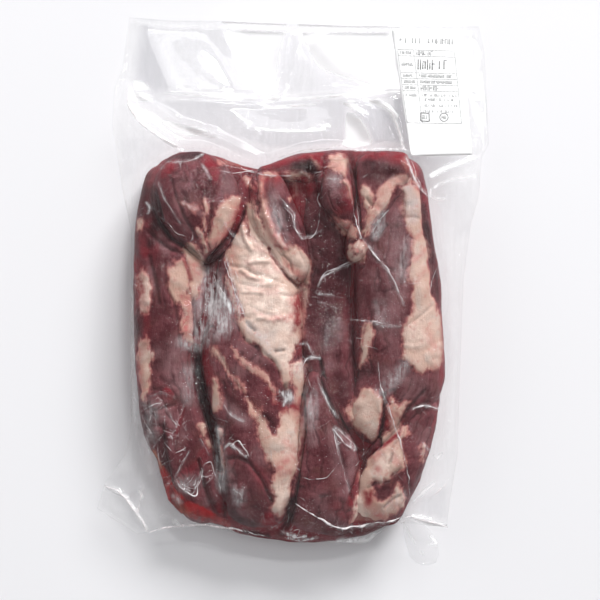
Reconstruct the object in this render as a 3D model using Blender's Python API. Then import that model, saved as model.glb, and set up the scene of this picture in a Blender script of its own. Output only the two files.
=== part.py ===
"""Vacuum pack of raw beef strips with a paper label, lying flat on its back.

The sizes below are in millimetres and the meshes in metres. +Z is up, and the long side of the bag runs
along Y with its sealed mouth at +Y. The origin is in the middle of the pack, on the surface it lies on.
"""
import math

import bpy
import bmesh
import numpy as np

MM = 0.001

# Bag film: its flat margin runs right through the pack at the height of the side seams
FILM_THICKNESS = 1.0
SEAM_HEIGHT = 14.0
MOUTH_HEIGHT = 4.5
MOUTH_REACH = 88.0
WAVE_HEIGHT = 1.9
LOWEST_FILM = 1.6
MARGIN_SPACING = 12.0

# Box that the meat fills inside the bag
MEAT_CENTRE = (-3.0, -36.0)
MEAT_HALF_SIZE = (102.0, 128.0)

# Cross-section of a strip: a superellipse pressed flat where it lies on the table
STRIP_SIDES = 16
STRIP_ROUNDNESS = 2.8
BELLY_FLATNESS = 1.3
RING_SPACING = 11.0
END_BLUNTNESS = 0.6
WAIST = 14.0
FOLD_WAIST = 23.0
CORE_WAIST = 12.0

# Paper label on the mouth margin
LABEL_THICKNESS = 0.3
LABEL_GAP = 0.5
LABEL_CELLS = (6, 11)


def material(name, colour, roughness):
    made = bpy.data.materials.new(name)
    made.use_nodes = True
    shader = made.node_tree.nodes["Principled BSDF"]
    shader.inputs["Base Color"].default_value = (*colour, 1.0)
    shader.inputs["Roughness"].default_value = roughness
    shader.inputs["Metallic"].default_value = 0.0
    return made


def object_from(name, bm, surface, collection=None):
    """A smooth-shaded object from a bmesh whose points are in millimetres, its faces turned outward."""
    bmesh.ops.scale(bm, vec=(MM, MM, MM), verts=bm.verts)
    bmesh.ops.recalc_face_normals(bm, faces=bm.faces)
    mesh = bpy.data.meshes.new(name)
    bm.to_mesh(mesh)
    bm.free()
    mesh.materials.append(surface)
    mesh.shade_smooth()
    made = bpy.data.objects.new(name, mesh)
    (collection or bpy.context.collection).objects.link(made)
    return made


def curve_through(rows, per_span=12):
    """Close points along a smooth curve through the rows, each row a point with any further values."""
    rows = np.array(rows, float)
    ends = np.vstack([2 * rows[0] - rows[1], rows, 2 * rows[-1] - rows[-2]])
    t = np.linspace(0.0, 1.0, per_span, endpoint=False)[:, None]
    found = []
    for before, start, end, after in zip(ends, ends[1:], ends[2:], ends[3:]):
        found.append(
            start
            + 0.5 * t * (end - before)
            + t**2 * (before - 2.5 * start + 2 * end - 0.5 * after)
            + t**3 * (1.5 * (start - end) + 0.5 * (after - before))
        )
    return np.vstack([*found, rows[-1:]])


def lengths_along(points):
    steps = np.linalg.norm(np.diff(points[:, :2], axis=0), axis=1)
    return np.concatenate([[0.0], np.cumsum(steps)])


def smooth_step(value):
    value = np.clip(value, 0.0, 1.0)
    return value * value * (3.0 - 2.0 * value)


def ring_places(length, rounding):
    """Where the rings go along a strip: close together on its rounded ends, even between them."""
    end = [rounding * (1.0 - math.cos(math.radians(turn))) for turn in (24, 46, 68)]
    count = max(2, round((length - 2 * rounding) / RING_SPACING))
    middle = np.linspace(rounding, length - rounding, count + 1)
    return np.concatenate([end, middle, [length - place for place in reversed(end)]])


def strip(name, spine, belly=0.0, waist=WAIST):
    """One length of meat. Its spine's rows are x, y, half width and height of the top; belly is its bottom."""
    curve = curve_through(spine)
    along = lengths_along(curve)
    length = along[-1]
    rounding = min(END_BLUNTNESS * float(curve[:, 2].mean()), 0.3 * length)
    bm = bmesh.new()
    rings = []
    for place in ring_places(length, rounding):
        x, y, half, top = (np.interp(place, along, curve[:, k]) for k in range(4))
        ahead = min(place + 1.0, length)
        behind = max(place - 1.0, 0.0)
        run = [np.interp(ahead, along, curve[:, k]) - np.interp(behind, along, curve[:, k]) for k in (0, 1)]
        side = np.array([run[1], -run[0]]) / math.hypot(*run)
        inset = 1.0 - min(place, length - place, rounding) / rounding
        closing = math.sqrt(1.0 - inset * inset)
        ring = []
        for k in range(STRIP_SIDES):
            turn = 2 * math.pi * k / STRIP_SIDES
            across = math.copysign(abs(math.cos(turn)) ** (2 / STRIP_ROUNDNESS), math.cos(turn))
            up = abs(math.sin(turn)) ** (2 / STRIP_ROUNDNESS)
            if turn <= math.pi:
                z = waist + (top - waist) * up * closing
            else:
                z = waist - (waist - belly) * min(1.0, BELLY_FLATNESS * up * closing)
            offset = side * half * across * closing
            ring.append(bm.verts.new((x + offset[0], y + offset[1], z)))
        rings.append(ring)
    for near, far in zip(rings, rings[1:]):
        for k in range(STRIP_SIDES):
            after = (k + 1) % STRIP_SIDES
            bm.faces.new((near[k], near[after], far[after], far[k]))
    for ring, row in ((rings[0], curve[0]), (rings[-1], curve[-1])):
        tip = bm.verts.new((row[0], row[1], waist))
        for k in range(STRIP_SIDES):
            bm.faces.new((ring[k], ring[(k + 1) % STRIP_SIDES], tip))
    bmesh.ops.triangulate(bm, faces=bm.faces)
    return object_from(name, bm, MEAT, STRIPS)


def film_height(x, y):
    """Middle of the film margin: level at the meat, hanging down towards the mouth, with soft buckles."""
    past_side = np.maximum(np.abs(x - MEAT_CENTRE[0]) - MEAT_HALF_SIZE[0], 0.0)
    past_end = np.maximum(np.abs(y - MEAT_CENTRE[1]) - MEAT_HALF_SIZE[1], 0.0)
    reach = np.hypot(past_side, past_end)
    sag = (SEAM_HEIGHT - MOUTH_HEIGHT) * smooth_step(reach / MOUTH_REACH)
    buckle = np.sin(x / 19.0 + 0.9 * np.sin(y / 31.0)) + 0.6 * np.sin((x + 1.3 * y) / 15.0)
    height = SEAM_HEIGHT - sag + WAVE_HEIGHT * buckle * smooth_step(reach / 45.0)
    return np.maximum(height, LOWEST_FILM)


def outline_points(corners, spacing):
    """The corners, with points between them along the straight runs so that none are far apart."""
    found = []
    for start, end in zip(corners, corners[1:] + corners[:1]):
        count = max(1, round(math.dist(start, end) / spacing))
        for k in range(count):
            found.append((start[0] + (end[0] - start[0]) * k / count, start[1] + (end[1] - start[1]) * k / count))
    return np.array(found)


def film_sheet(name, outline, centre, rings, height, collection=None):
    """A closed sheet of film: rings drawn in from the outline to a middle point, on both faces."""
    bm = bmesh.new()
    faces_of = []
    for offset in (-0.5 * FILM_THICKNESS, 0.5 * FILM_THICKNESS):
        loops = []
        for share in rings:
            points = np.array(centre) + share * (outline - np.array(centre))
            loops.append([bm.verts.new((x, y, height(x, y) + offset)) for x, y in points])
        middle = bm.verts.new((*centre, height(*centre) + offset))
        faces_of.append((loops, middle))
    count = len(outline)
    for loops, middle in faces_of:
        for inner, outer in zip(loops, loops[1:]):
            for k in range(count):
                after = (k + 1) % count
                bm.faces.new((inner[k], inner[after], outer[after], outer[k]))
        for k in range(count):
            bm.faces.new((loops[0][k], loops[0][(k + 1) % count], middle))
    low, high = faces_of[0][0][-1], faces_of[1][0][-1]
    for k in range(count):
        after = (k + 1) % count
        bm.faces.new((low[k], low[after], high[after], high[k]))
    bmesh.ops.triangulate(bm, faces=bm.faces)
    return object_from(name, bm, FILM, collection)


for old in list(bpy.data.objects):
    bpy.data.objects.remove(old, do_unlink=True)

FILM = material("clear_film", (0.78, 0.78, 0.80), 0.15)
MEAT = material("raw_beef", (0.20, 0.05, 0.055), 0.3)
PAPER = material("label_paper", (0.90, 0.90, 0.91), 0.6)

STRIPS = bpy.data.collections.new("strips")
bpy.context.scene.collection.children.link(STRIPS)

# The core that the strips press into where they meet, under the film that spans their grooves
strip(
    "pressed_core",
    [(-4, 90, 86, 19), (-6, 20, 94, 21), (-4, -60, 94, 21), (2, -110, 84, 21), (4, -160, 58, 17)],
    belly=1.5,
    waist=CORE_WAIST,
)

# The long strips that lie on the back face of the bag, from the left side to the right
strip(
    "left_strip",
    [(-81, 88, 17, 25), (-82, 60, 22, 28), (-82, 27, 24, 30), (-82, -6, 24, 31), (-86, -39, 20, 29),
     (-77, -84, 22, 29), (-70, -106, 20, 27), (-61, -134, 16, 24), (-52, -152, 11, 18)],
)
strip(
    "middle_strip",
    [(-27, 79, 9, 28), (-28, 46, 14, 32), (-27, 23, 19, 35), (-24, -13, 28, 37), (-28, -39, 33, 36),
     (-26, -72, 32, 35), (-23, -105, 27, 35), (-23, -134, 24, 32), (-26, -159, 18, 24)],
)
strip(
    "sunken_strip",
    [(24, 79, 13, 28), (23, 41, 17, 25), (22, -6, 19, 24), (23, -39, 17, 27), (30, -68, 12, 28),
     (38, -93, 6, 26)],
    belly=0.5,
)
strip(
    "lower_strip",
    [(15, -49, 5, 28), (17, -74, 12, 32), (20, -96, 17, 34), (22, -115, 22, 34), (19, -138, 24, 32),
     (15, -163, 19, 23)],
)
strip(
    "right_strip",
    [(69, 91, 17, 27), (71, 74, 20, 31), (71, 47, 24, 34), (69, 8, 29, 36), (69, -32, 30, 36),
     (70, -58, 29, 34), (57, -82, 23, 31), (48, -102, 9, 26)],
)
strip(
    "lower_right_strip",
    [(92, -66, 6, 26), (82, -88, 14, 31), (74, -106, 22, 32), (67, -124, 24, 31), (61, -141, 22, 27),
     (53, -156, 16, 20)],
    belly=0.5,
)

# The folded ends and pieces that lie on top of them along the upper edge
strip(
    "left_fold",
    [(-69, 94, 17, 28), (-68, 83, 23, 36), (-65, 67, 29, 39), (-60, 50, 27, 39), (-57, 35, 19, 36),
     (-56, 18, 6, 31)],
    belly=9.0,
    waist=FOLD_WAIST,
)
strip(
    "curled_fold",
    [(-20, 80, 8, 30), (-17, 67, 13, 36), (-14, 50, 17, 39), (-10, 34, 17, 40), (-5, 19, 13, 39),
     (1, 5, 5, 34)],
    belly=12.0,
    waist=FOLD_WAIST,
)
strip(
    "upper_roll",
    [(-24, 79, 5, 22), (-12, 82, 8, 26), (5, 84, 11, 29), (24, 84, 11, 30), (39, 86, 6, 26)],
    belly=6.0,
)
strip(
    "upper_lump",
    [(27, 92, 10, 30), (27, 74, 14, 36), (28, 60, 13, 37), (28, 47, 6, 32)],
    belly=12.0,
    waist=FOLD_WAIST,
)
strip(
    "right_fold",
    [(58, 93, 17, 31), (59, 77, 18, 36), (54, 60, 14, 38), (48, 46, 9, 37), (42, 31, 8, 34), (38, 19, 5, 30)],
    belly=10.0,
    waist=FOLD_WAIST,
)

# The corner of the film that is folded out past the lower edge
CORNER_TONGUE = [(66, -150), (76, -170), (83, -180), (90, -182.9), (97, -178), (98, -168), (92, -156), (80, -146)]
film_sheet(
    "corner_tongue",
    outline_points(CORNER_TONGUE, MARGIN_SPACING),
    (83.0, -163.0),
    (0.5, 1.0),
    lambda x, y: 9.0 + 0.05 * (y + 150.0),
    STRIPS,
)

# The bag: its film margin, clockwise from the mouth's left corner, with every strip joined to it
BAG_OUTLINE = [
    (-109, 182.8), (-81, 180.5), (-50, 180.5), (-2, 178.5), (44, 177), (124, 177),
    (127.5, 160), (130, 98), (125, 88), (123, 62), (118, 45), (113, 8), (110, -72), (109, -109), (104, -138),
    (102, -156), (65, -153), (49, -167), (5, -166), (-35, -161), (-53, -156), (-79, -156), (-96, -159),
    (-103, -161), (-130, -144), (-125, -127), (-112, -109), (-107.5, -93), (-107.5, 41),
    (-113, 67), (-117, 93), (-120, 109), (-119, 135), (-114, 148),
]
MARGIN_RINGS = (0.45, 0.6, 0.7, 0.78, 0.86, 0.93, 1.0)
bag = film_sheet(
    "vacuum_bag",
    outline_points(BAG_OUTLINE, MARGIN_SPACING),
    (0.0, 0.0),
    MARGIN_RINGS,
    film_height,
)
union = bag.modifiers.new("strips", "BOOLEAN")
union.operation = "UNION"
union.operand_type = "COLLECTION"
union.collection = STRIPS
union.solver = "EXACT"
joined = bpy.data.meshes.new_from_object(bag.evaluated_get(bpy.context.evaluated_depsgraph_get()))
bag.modifiers.clear()
bag.data = joined
bag.data.name = "vacuum_bag"
for piece in list(STRIPS.objects):
    bpy.data.objects.remove(piece, do_unlink=True)
bpy.data.collections.remove(STRIPS)

# The label lies on the film between the mouth and the meat, narrower at its lower end
LABEL_CORNERS = ((80.0, 89.5), (65.5, 175.0), (112.5, 175.0), (118.5, 90.5))


def label_point(across, along):
    """A point of the label, from shares of its width and its length."""
    low_left, high_left, high_right, low_right = np.array(LABEL_CORNERS)
    left = low_left + along * (high_left - low_left)
    right = low_right + along * (high_right - low_right)
    return left + across * (right - left)


bm = bmesh.new()
levels = []
for rise in (0.0, LABEL_THICKNESS):
    grid = []
    for j in range(LABEL_CELLS[1] + 1):
        row = []
        for i in range(LABEL_CELLS[0] + 1):
            x, y = label_point(i / LABEL_CELLS[0], j / LABEL_CELLS[1])
            z = float(film_height(x, y)) + 0.5 * FILM_THICKNESS + LABEL_GAP + rise
            row.append(bm.verts.new((x, y, z)))
        grid.append(row)
    levels.append(grid)
for grid in levels:
    for lower, upper in zip(grid, grid[1:]):
        for i in range(LABEL_CELLS[0]):
            bm.faces.new((lower[i], lower[i + 1], upper[i + 1], upper[i]))


def rim(grid):
    """The label's edge, once round."""
    right = [row[-1] for row in grid[1:-1]]
    left = [row[0] for row in reversed(grid[1:-1])]
    return [*grid[0], *right, *reversed(grid[-1]), *left]


low, high = rim(levels[0]), rim(levels[1])
for k in range(len(low)):
    after = (k + 1) % len(low)
    bm.faces.new((low[k], low[after], high[after], high[k]))
bmesh.ops.triangulate(bm, faces=bm.faces)
object_from("paper_label", bm, PAPER)
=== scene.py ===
"""A vacuum pack of raw beef strips with a paper label, seen from straight above."""

import math

import bpy
import numpy as np
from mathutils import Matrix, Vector, noise
from mathutils.bvhtree import BVHTree


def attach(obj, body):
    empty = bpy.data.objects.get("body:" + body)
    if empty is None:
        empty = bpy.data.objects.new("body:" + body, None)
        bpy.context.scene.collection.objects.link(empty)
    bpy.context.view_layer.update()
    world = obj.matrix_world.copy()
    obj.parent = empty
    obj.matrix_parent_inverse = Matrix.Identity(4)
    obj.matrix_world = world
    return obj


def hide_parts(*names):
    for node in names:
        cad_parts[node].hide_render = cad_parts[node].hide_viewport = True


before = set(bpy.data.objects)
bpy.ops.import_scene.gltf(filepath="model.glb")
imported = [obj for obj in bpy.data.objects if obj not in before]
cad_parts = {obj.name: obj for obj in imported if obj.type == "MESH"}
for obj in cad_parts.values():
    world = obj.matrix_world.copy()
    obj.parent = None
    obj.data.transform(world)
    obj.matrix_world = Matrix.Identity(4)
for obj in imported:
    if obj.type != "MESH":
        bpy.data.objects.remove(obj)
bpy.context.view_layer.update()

# The strips are lengths of hanging tender, a long dark muscle with a coarse grain, laid side by side.
# Each is its own closed piece with a flat back, and its neighbours press into it. All sizes are in
# millimetres until a mesh is made.
MM = 0.001
STRIP_STEP = 1.0
TOP_POINTS = 96
BACK_POINTS = 34
TOP_ROUNDNESS = 3.0
BACK_ROUNDNESS = 2.6
BACK_FLATNESS = 1.3
TYPICAL_SECTION = (22.0, 17.0)
SECTION_SAMPLES = 1500
END_BLUNTNESS = 0.55
LONGEST_END = 0.3
END_TURNS = (7, 86, 7)
WAIST = 14.0
FOLD_WAIST = 23.0
BACK_HEIGHT = 0.5
GIRTH_TO_WIDTH = 2.2


def curve_through(rows, per_span=24):
    """Close points along a smooth curve through the rows, each row a point with any further values."""
    rows = np.array(rows, float)
    ends = np.vstack([2 * rows[0] - rows[1], rows, 2 * rows[-1] - rows[-2]])
    t = np.linspace(0.0, 1.0, per_span, endpoint=False)[:, None]
    found = []
    for before, start, end, after in zip(ends, ends[1:], ends[2:], ends[3:]):
        found.append(
            start
            + 0.5 * t * (end - before)
            + t**2 * (before - 2.5 * start + 2 * end - 0.5 * after)
            + t**3 * (1.5 * (start - end) + 0.5 * (after - before))
        )
    return np.vstack([*found, rows[-1:]])


def lengths_along(points):
    """The distance run at each point of a line, from nought."""
    steps = np.linalg.norm(np.diff(points, axis=0), axis=1)
    return np.concatenate([[0.0], np.cumsum(steps)])


def smooth_step(value):
    """A soft rise from nought to one."""
    value = np.clip(value, 0.0, 1.0)
    return value * value * (3.0 - 2.0 * value)


def superellipse(first, last, count, roundness):
    """Shares of half width and height round part of a pressed section, evenly spaced, in degrees."""
    turn = np.radians(np.linspace(first, last, SECTION_SAMPLES))
    across = np.sign(np.cos(turn)) * np.abs(np.cos(turn)) ** (2 / roundness)
    up = np.abs(np.sin(turn)) ** (2 / roundness)
    run = lengths_along(np.column_stack([across, up]) * TYPICAL_SECTION)
    even = np.linspace(0.0, run[-1], count)
    return np.interp(even, run, across), np.interp(even, run, up)


# Round one section, from the middle of the back up the right side, over the top and down the left
back_right = superellipse(-90, 0, BACK_POINTS // 2 + 1, BACK_ROUNDNESS)
over_top = superellipse(0, 180, TOP_POINTS + 1, TOP_ROUNDNESS)
back_left = superellipse(180, 270, BACK_POINTS // 2 + 1, BACK_ROUNDNESS)
section_across = np.concatenate([back_right[0][:-1], over_top[0][:-1], back_left[0]])
section_up = np.concatenate([back_right[1][:-1], over_top[1][:-1], back_left[1]])
section_is_top = np.zeros(len(section_across), bool)
section_is_top[BACK_POINTS // 2:BACK_POINTS // 2 + TOP_POINTS + 1] = True


def mesh_from(name, points, faces, values=None):
    """A smooth mesh from points in millimetres, with named values on its points."""
    mesh = bpy.data.meshes.new(name)
    mesh.from_pydata((np.asarray(points) * MM).tolist(), [], faces)
    for key, numbers in (values or {}).items():
        layer = mesh.attributes.new(key, "FLOAT", "POINT")
        layer.data.foreach_set("value", np.asarray(numbers, np.float32))
    mesh.shade_smooth()
    return mesh


def piece_from(name, mesh, surface, replaced=None):
    """An object at the origin that rides on the pack's one body, from a mesh or a mesh's parts."""
    if isinstance(mesh, tuple):
        mesh = mesh_from(name, *mesh)
    mesh.materials.append(surface)
    piece = bpy.data.objects.new(name, mesh)
    bpy.context.scene.collection.objects.link(piece)
    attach(piece, "root")
    if replaced:
        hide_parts(replaced)
    return piece


def strip_shape(spine, belly=BACK_HEIGHT, waist=WAIST, blunt=END_BLUNTNESS):
    """Points, faces and grain of one length of meat.

    The spine's rows are x, y, half width and height of the top.
    """
    curve = curve_through(spine)
    along = lengths_along(curve[:, :2])
    length = along[-1]
    rounding = min(blunt * float(curve[:, 2].mean()), LONGEST_END * length)
    turns = np.radians(np.arange(*END_TURNS))
    end = rounding * (1.0 - np.cos(turns))
    middle = np.linspace(rounding, length - rounding, max(3, int((length - 2 * rounding) / STRIP_STEP)))
    places = np.concatenate([end, middle, length - end[::-1]])
    x, y, half, top = (np.interp(places, along, curve[:, k]) for k in range(4))
    run = np.gradient(np.column_stack([x, y]), places, axis=0)
    side = np.column_stack([run[:, 1], -run[:, 0]]) / np.linalg.norm(run, axis=1)[:, None]
    inset = 1.0 - np.minimum(np.minimum(places, length - places), rounding) / rounding
    closing = np.sqrt(np.maximum(1.0 - inset**2, 0.0))
    reach = (half * closing)[:, None] * section_across[None, :]
    above = waist + ((top - waist) * closing)[:, None] * section_up[None, :]
    pressed = np.minimum(1.0, BACK_FLATNESS * closing[:, None] * section_up[None, :])
    below = waist - (waist - belly) * pressed
    z = np.where(section_is_top[None, :], above, below)
    points = np.stack([x[:, None] + side[:, :1] * reach, y[:, None] + side[:, 1:] * reach, z], axis=2)
    rings, around = z.shape
    around -= 1
    points = points[:, :around].reshape(-1, 3)
    faces = []
    for ring in range(rings - 1):
        row = ring * around
        for k in range(around):
            after = (k + 1) % around
            faces.append((row + after, row + k, row + around + k, row + around + after))
    tips = [(curve[0, 0], curve[0, 1], waist), (curve[-1, 0], curve[-1, 1], waist)]
    first, last = len(points), len(points) + 1
    for k in range(around):
        after = (k + 1) % around
        faces.append((first, k, after))
        faces.append((last, (rings - 1) * around + after, (rings - 1) * around + k))
    points = np.vstack([points, tips])
    girth = np.linspace(0.0, 1.0, around) * GIRTH_TO_WIDTH * float(half.mean()) * 2.0
    grain_along = np.append(np.repeat(places, around), [0.0, length])
    grain_round = np.append(np.tile(girth, rings), [0.0, 0.0])
    return points, faces, grain_along, grain_round


# Rows of each strip: x, y, half width, height of the top
STRIPS = {
    "left_strip": dict(
        spine=[(-78, 86, 15, 25), (-80, 60, 22, 28), (-81, 27, 24.3, 31), (-81, -6, 24.3, 32),
               (-85, -39, 20, 31), (-77, -84, 23, 30), (-70, -106, 21, 28), (-61, -134, 17, 25),
               (-52, -152, 12, 19)],
    ),
    "middle_strip": dict(
        spine=[(-27, 79, 10, 28), (-28, 46, 16, 33), (-24, 23, 25, 36), (-24, -13, 30, 38),
               (-27, -39, 34, 37), (-26, -72, 33, 36), (-23, -105, 28, 35), (-23, -134, 25, 32),
               (-26, -159, 19, 24)],
    ),
    "sunken_strip": dict(
        spine=[(24, 79, 15, 28), (23, 41, 19, 26), (22, -6, 20, 25), (23, -39, 18, 28),
               (30, -68, 13, 29), (38, -93, 7, 27)],
    ),
    "lower_strip": dict(
        spine=[(15, -49, 5, 30), (17, -74, 13, 33), (20, -96, 18, 34), (22, -115, 23, 34),
               (19, -138, 25, 32), (15, -163, 20, 23)],
    ),
    "right_strip": dict(
        spine=[(67, 89, 15, 27), (69, 74, 18, 31), (69, 47, 22.5, 34), (68.5, 8, 28.5, 36),
               (69, -32, 30.3, 36), (70, -58, 29, 34), (57, -82, 24, 32), (48, -102, 10, 27)],
    ),
    "lower_right_strip": dict(
        spine=[(90, -66, 7, 26), (80, -88, 15, 31), (70, -106, 19, 33), (62, -124, 20, 32),
               (55, -141, 19, 28), (50, -154, 14, 20)],
    ),
    "left_fold": dict(
        spine=[(-68, 92, 16, 28), (-67, 81, 23, 35), (-65, 67, 28.5, 38.5), (-60, 50, 27, 38.5),
               (-57, 35, 19, 36), (-56, 18, 6, 32)],
        belly=9.0,
        waist=FOLD_WAIST,
    ),
    "curled_fold": dict(
        spine=[(-20, 80, 8, 30), (-17, 67, 13, 36), (-14, 50, 17, 38.5), (-8, 36, 16.5, 38),
               (-1, 20, 12, 35.5), (4, 5, 5, 32.5)],
        belly=12.0,
        waist=FOLD_WAIST,
    ),
    "upper_roll": dict(
        spine=[(-24, 77, 5, 22), (-12, 79, 6.5, 26), (5, 81.5, 10, 29), (24, 82.5, 10.5, 30),
               (39, 85, 6, 26)],
        belly=6.0,
    ),
    "upper_lump": dict(
        spine=[(25, 92, 9, 26), (27, 77, 12, 31), (30, 62, 13, 33), (34, 50, 9, 32), (37, 40, 4, 29)],
        belly=8.0,
        waist=FOLD_WAIST,
    ),
    "right_fold": dict(
        spine=[(58, 93, 17, 31), (59, 77, 18, 36), (54, 60, 14, 38), (48, 46, 9, 37), (42, 31, 8, 35),
               (38, 19, 5, 31)],
        belly=10.0,
        waist=FOLD_WAIST,
    ),
}

# Where things lie on the strips is read from the photograph: rows of its pixels, x, y and a reach
PIXEL = 0.66
PHOTO_MIDDLE = (293.0, 291.5)
NO_LENGTH = 1e-9
DOT_SPAN = (0.01, 0.0, 0.0)


def placed(rows):
    """Rows of the photograph's pixels as millimetres from the pack's origin."""
    rows = np.array(rows, float)
    found = rows * PIXEL
    found[:, 0] = (rows[:, 0] - PHOTO_MIDDLE[0]) * PIXEL
    found[:, 1] = (PHOTO_MIDDLE[1] - rows[:, 1]) * PIXEL
    return found


def inside_box(x, y, low, high):
    """Which points lie in a box, as their numbers."""
    return np.flatnonzero((x > low[0]) & (x < high[0]) & (y > low[1]) & (y < high[1]))


def nearest_on_span(px, py, ax, ay, bx, by):
    """How far along a straight span each point's nearest place lies, and how far off it is."""
    dx, dy = bx - ax, by - ay
    t = np.clip(((px - ax) * dx + (py - ay) * dy) / max(dx * dx + dy * dy, NO_LENGTH), 0.0, 1.0)
    return t, np.hypot(px - ax - t * dx, py - ay - t * dy)


def stroke_depth(x, y, rows, far):
    """How deep points lie inside a stroke with the rows' reach, in millimetres; -far away from it."""
    rows = placed(rows)
    depth = np.full(len(x), -float(far))
    low = (rows[:, :2] - rows[:, 2:]).min(0) - far
    high = (rows[:, :2] + rows[:, 2:]).max(0) + far
    near = inside_box(x, y, low, high)
    best = np.full(len(near), -float(far))
    if len(rows) == 1:
        rows = np.vstack([rows, rows + DOT_SPAN])
    for (ax, ay, ar), (bx, by, br) in zip(rows, rows[1:]):
        t, distance = nearest_on_span(x[near], y[near], ax, ay, bx, by)
        best = np.maximum(best, ar + t * (br - ar) - distance)
    depth[near] = best
    return depth


def area_depth(x, y, corners, far):
    """How deep points lie inside a closed outline, in millimetres; negative outside it."""
    corners = placed(corners)
    depth = np.full(len(x), -float(far))
    low, high = corners.min(0) - far, corners.max(0) + far
    near = inside_box(x, y, low, high)
    px, py = x[near], y[near]
    distance = np.full(len(near), np.inf)
    inside = np.zeros(len(near), bool)
    for (ax, ay), (bx, by) in zip(corners, np.roll(corners, -1, axis=0)):
        distance = np.minimum(distance, nearest_on_span(px, py, ax, ay, bx, by)[1])
        if ay != by:
            crosses = (ay > py) != (by > py)
            inside ^= crosses & (px < ax + (py - ay) / (by - ay) * (bx - ax))
    depth[near] = np.maximum(np.where(inside, distance, -distance), -float(far))
    return depth


FAR = 5.0

# Cream fat in broad patches, each an outline
FAT_AREAS = [
    # The broad patch on the middle strip, from its tip down to the muscle
    [(243, 223), (248, 229), (252, 237), (258, 243), (267, 249), (271, 257), (277, 265), (285, 274),
     (297, 283), (307, 288), (306, 300), (305, 321), (302, 335), (299, 342), (293, 352), (290, 362),
     (291, 380), (287, 387), (283, 380), (281, 369), (276, 362), (266, 354), (257, 346), (248, 342),
     (242, 332), (238, 322), (243, 315), (240, 303), (236, 292), (231, 278), (227, 262), (229, 250),
     (236, 240), (240, 231)],
    # The piece that joins it to the lower patch
    [(294, 362), (300, 360), (306, 364), (307, 373), (304, 384), (303, 394), (305, 406), (297, 406),
     (295, 392), (292, 378), (292, 368)],
    # The lower patch, in two prongs at its top
    [(281, 411), (289, 412), (297, 407), (303, 411), (304, 425), (301, 445), (296, 460), (294, 470),
     (291, 483), (290, 498), (286, 508), (280, 518), (276, 512), (272, 505), (276, 494), (271, 484),
     (275, 470), (270, 461), (265, 452), (261, 440), (257, 428), (255, 417), (259, 410), (264, 414),
     (267, 424), (272, 434), (278, 432), (280, 422), (278, 415)],
    # Two patches in the middle of the left strip, and three on its outer edge
    [(170, 268), (176, 262), (184, 262), (189, 272), (191, 283), (190, 293), (184, 301), (176, 302),
     (171, 295), (169, 284)],
    [(183, 250), (192, 246), (200, 251), (204, 260), (204, 276), (199, 288), (195, 299), (191, 295),
     (190, 280), (187, 264)],
    [(136, 221), (142, 218), (145, 222), (143, 229), (137, 230)],
    [(137, 275), (143, 269), (149, 275), (153, 286), (152, 299), (148, 311), (142, 315), (138, 300),
     (136, 286)],
    [(141, 341), (147, 339), (151, 352), (152, 366), (150, 381), (148, 393), (145, 402), (142, 397),
     (140, 380), (138, 360)],
    # The patch on the left fold
    [(226, 203), (232, 198), (240, 199), (240, 208), (235, 217), (230, 227), (225, 236), (219, 245),
     (213, 247), (209, 240), (212, 230), (216, 220), (219, 211)],
    # The lump at the upper edge
    [(330, 157), (340, 154), (349, 160), (348, 170), (344, 178), (337, 173), (329, 168)],
    # The cap along the right strip's outer side
    [(402, 188), (409, 185), (417, 189), (420, 200), (421, 214), (422, 228), (425, 242), (428, 256),
     (429, 272), (429, 290), (431, 302), (437, 311), (441, 326), (443, 342), (442, 358), (437, 369),
     (429, 368), (422, 372), (412, 369), (408, 362), (400, 356), (402, 342), (404, 326), (410, 316),
     (412, 300), (412, 286), (406, 274), (411, 256), (410, 238), (405, 222), (403, 206)],
    # Two patches at the right strip's lower end
    [(346, 411), (350, 404), (358, 396), (362, 388), (370, 386), (377, 392), (382, 399), (381, 410),
     (379, 422), (376, 435), (370, 439), (362, 431), (354, 425), (348, 418)],
    [(390, 396), (394, 400), (398, 407), (404, 404), (410, 403), (404, 411), (400, 420), (396, 431),
     (391, 435), (388, 424), (386, 410)],
    # Patches on the lower right strip
    [(403, 425), (409, 425), (407, 434), (401, 440), (403, 448), (405, 456), (402, 465), (396, 467),
     (392, 473), (389, 480), (384, 478), (381, 484), (374, 481), (369, 484), (371, 491), (375, 497),
     (383, 500), (390, 495), (394, 488), (397, 481), (401, 487), (405, 493), (406, 499), (403, 508),
     (398, 505), (394, 512), (388, 513), (385, 519), (371, 521), (352, 522), (353, 511), (356, 501),
     (357, 491), (359, 480), (363, 467), (368, 456), (376, 447), (387, 442), (396, 435)],
    # The fold of fat under the curled end
    [(283, 251), (292, 246), (300, 248), (308, 256), (312, 265), (312, 274), (308, 283), (302, 284),
     (297, 277), (289, 272), (283, 266), (280, 258)],
    # The forked seam at the right strip's upper end
    [(407, 177), (410, 182), (400, 185), (393, 190), (389, 199), (385, 208), (379, 217), (371, 228),
     (365, 237), (360, 233), (364, 222), (368, 212), (373, 201), (379, 191), (384, 183), (390, 179),
     (398, 177)],
    [(360, 187), (366, 189), (371, 196), (372, 204), (369, 211), (364, 206), (360, 196)],
    # The bridge beside the upper lump
    [(333, 218), (342, 221), (350, 224), (358, 230), (355, 238), (348, 237), (342, 231), (335, 226)],
    # The strip of fat along the right strip's inner side
    [(365, 324), (371, 323), (372, 335), (370, 346), (367, 356), (364, 365), (359, 367), (360, 354),
     (362, 343), (364, 333)],
]

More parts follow.
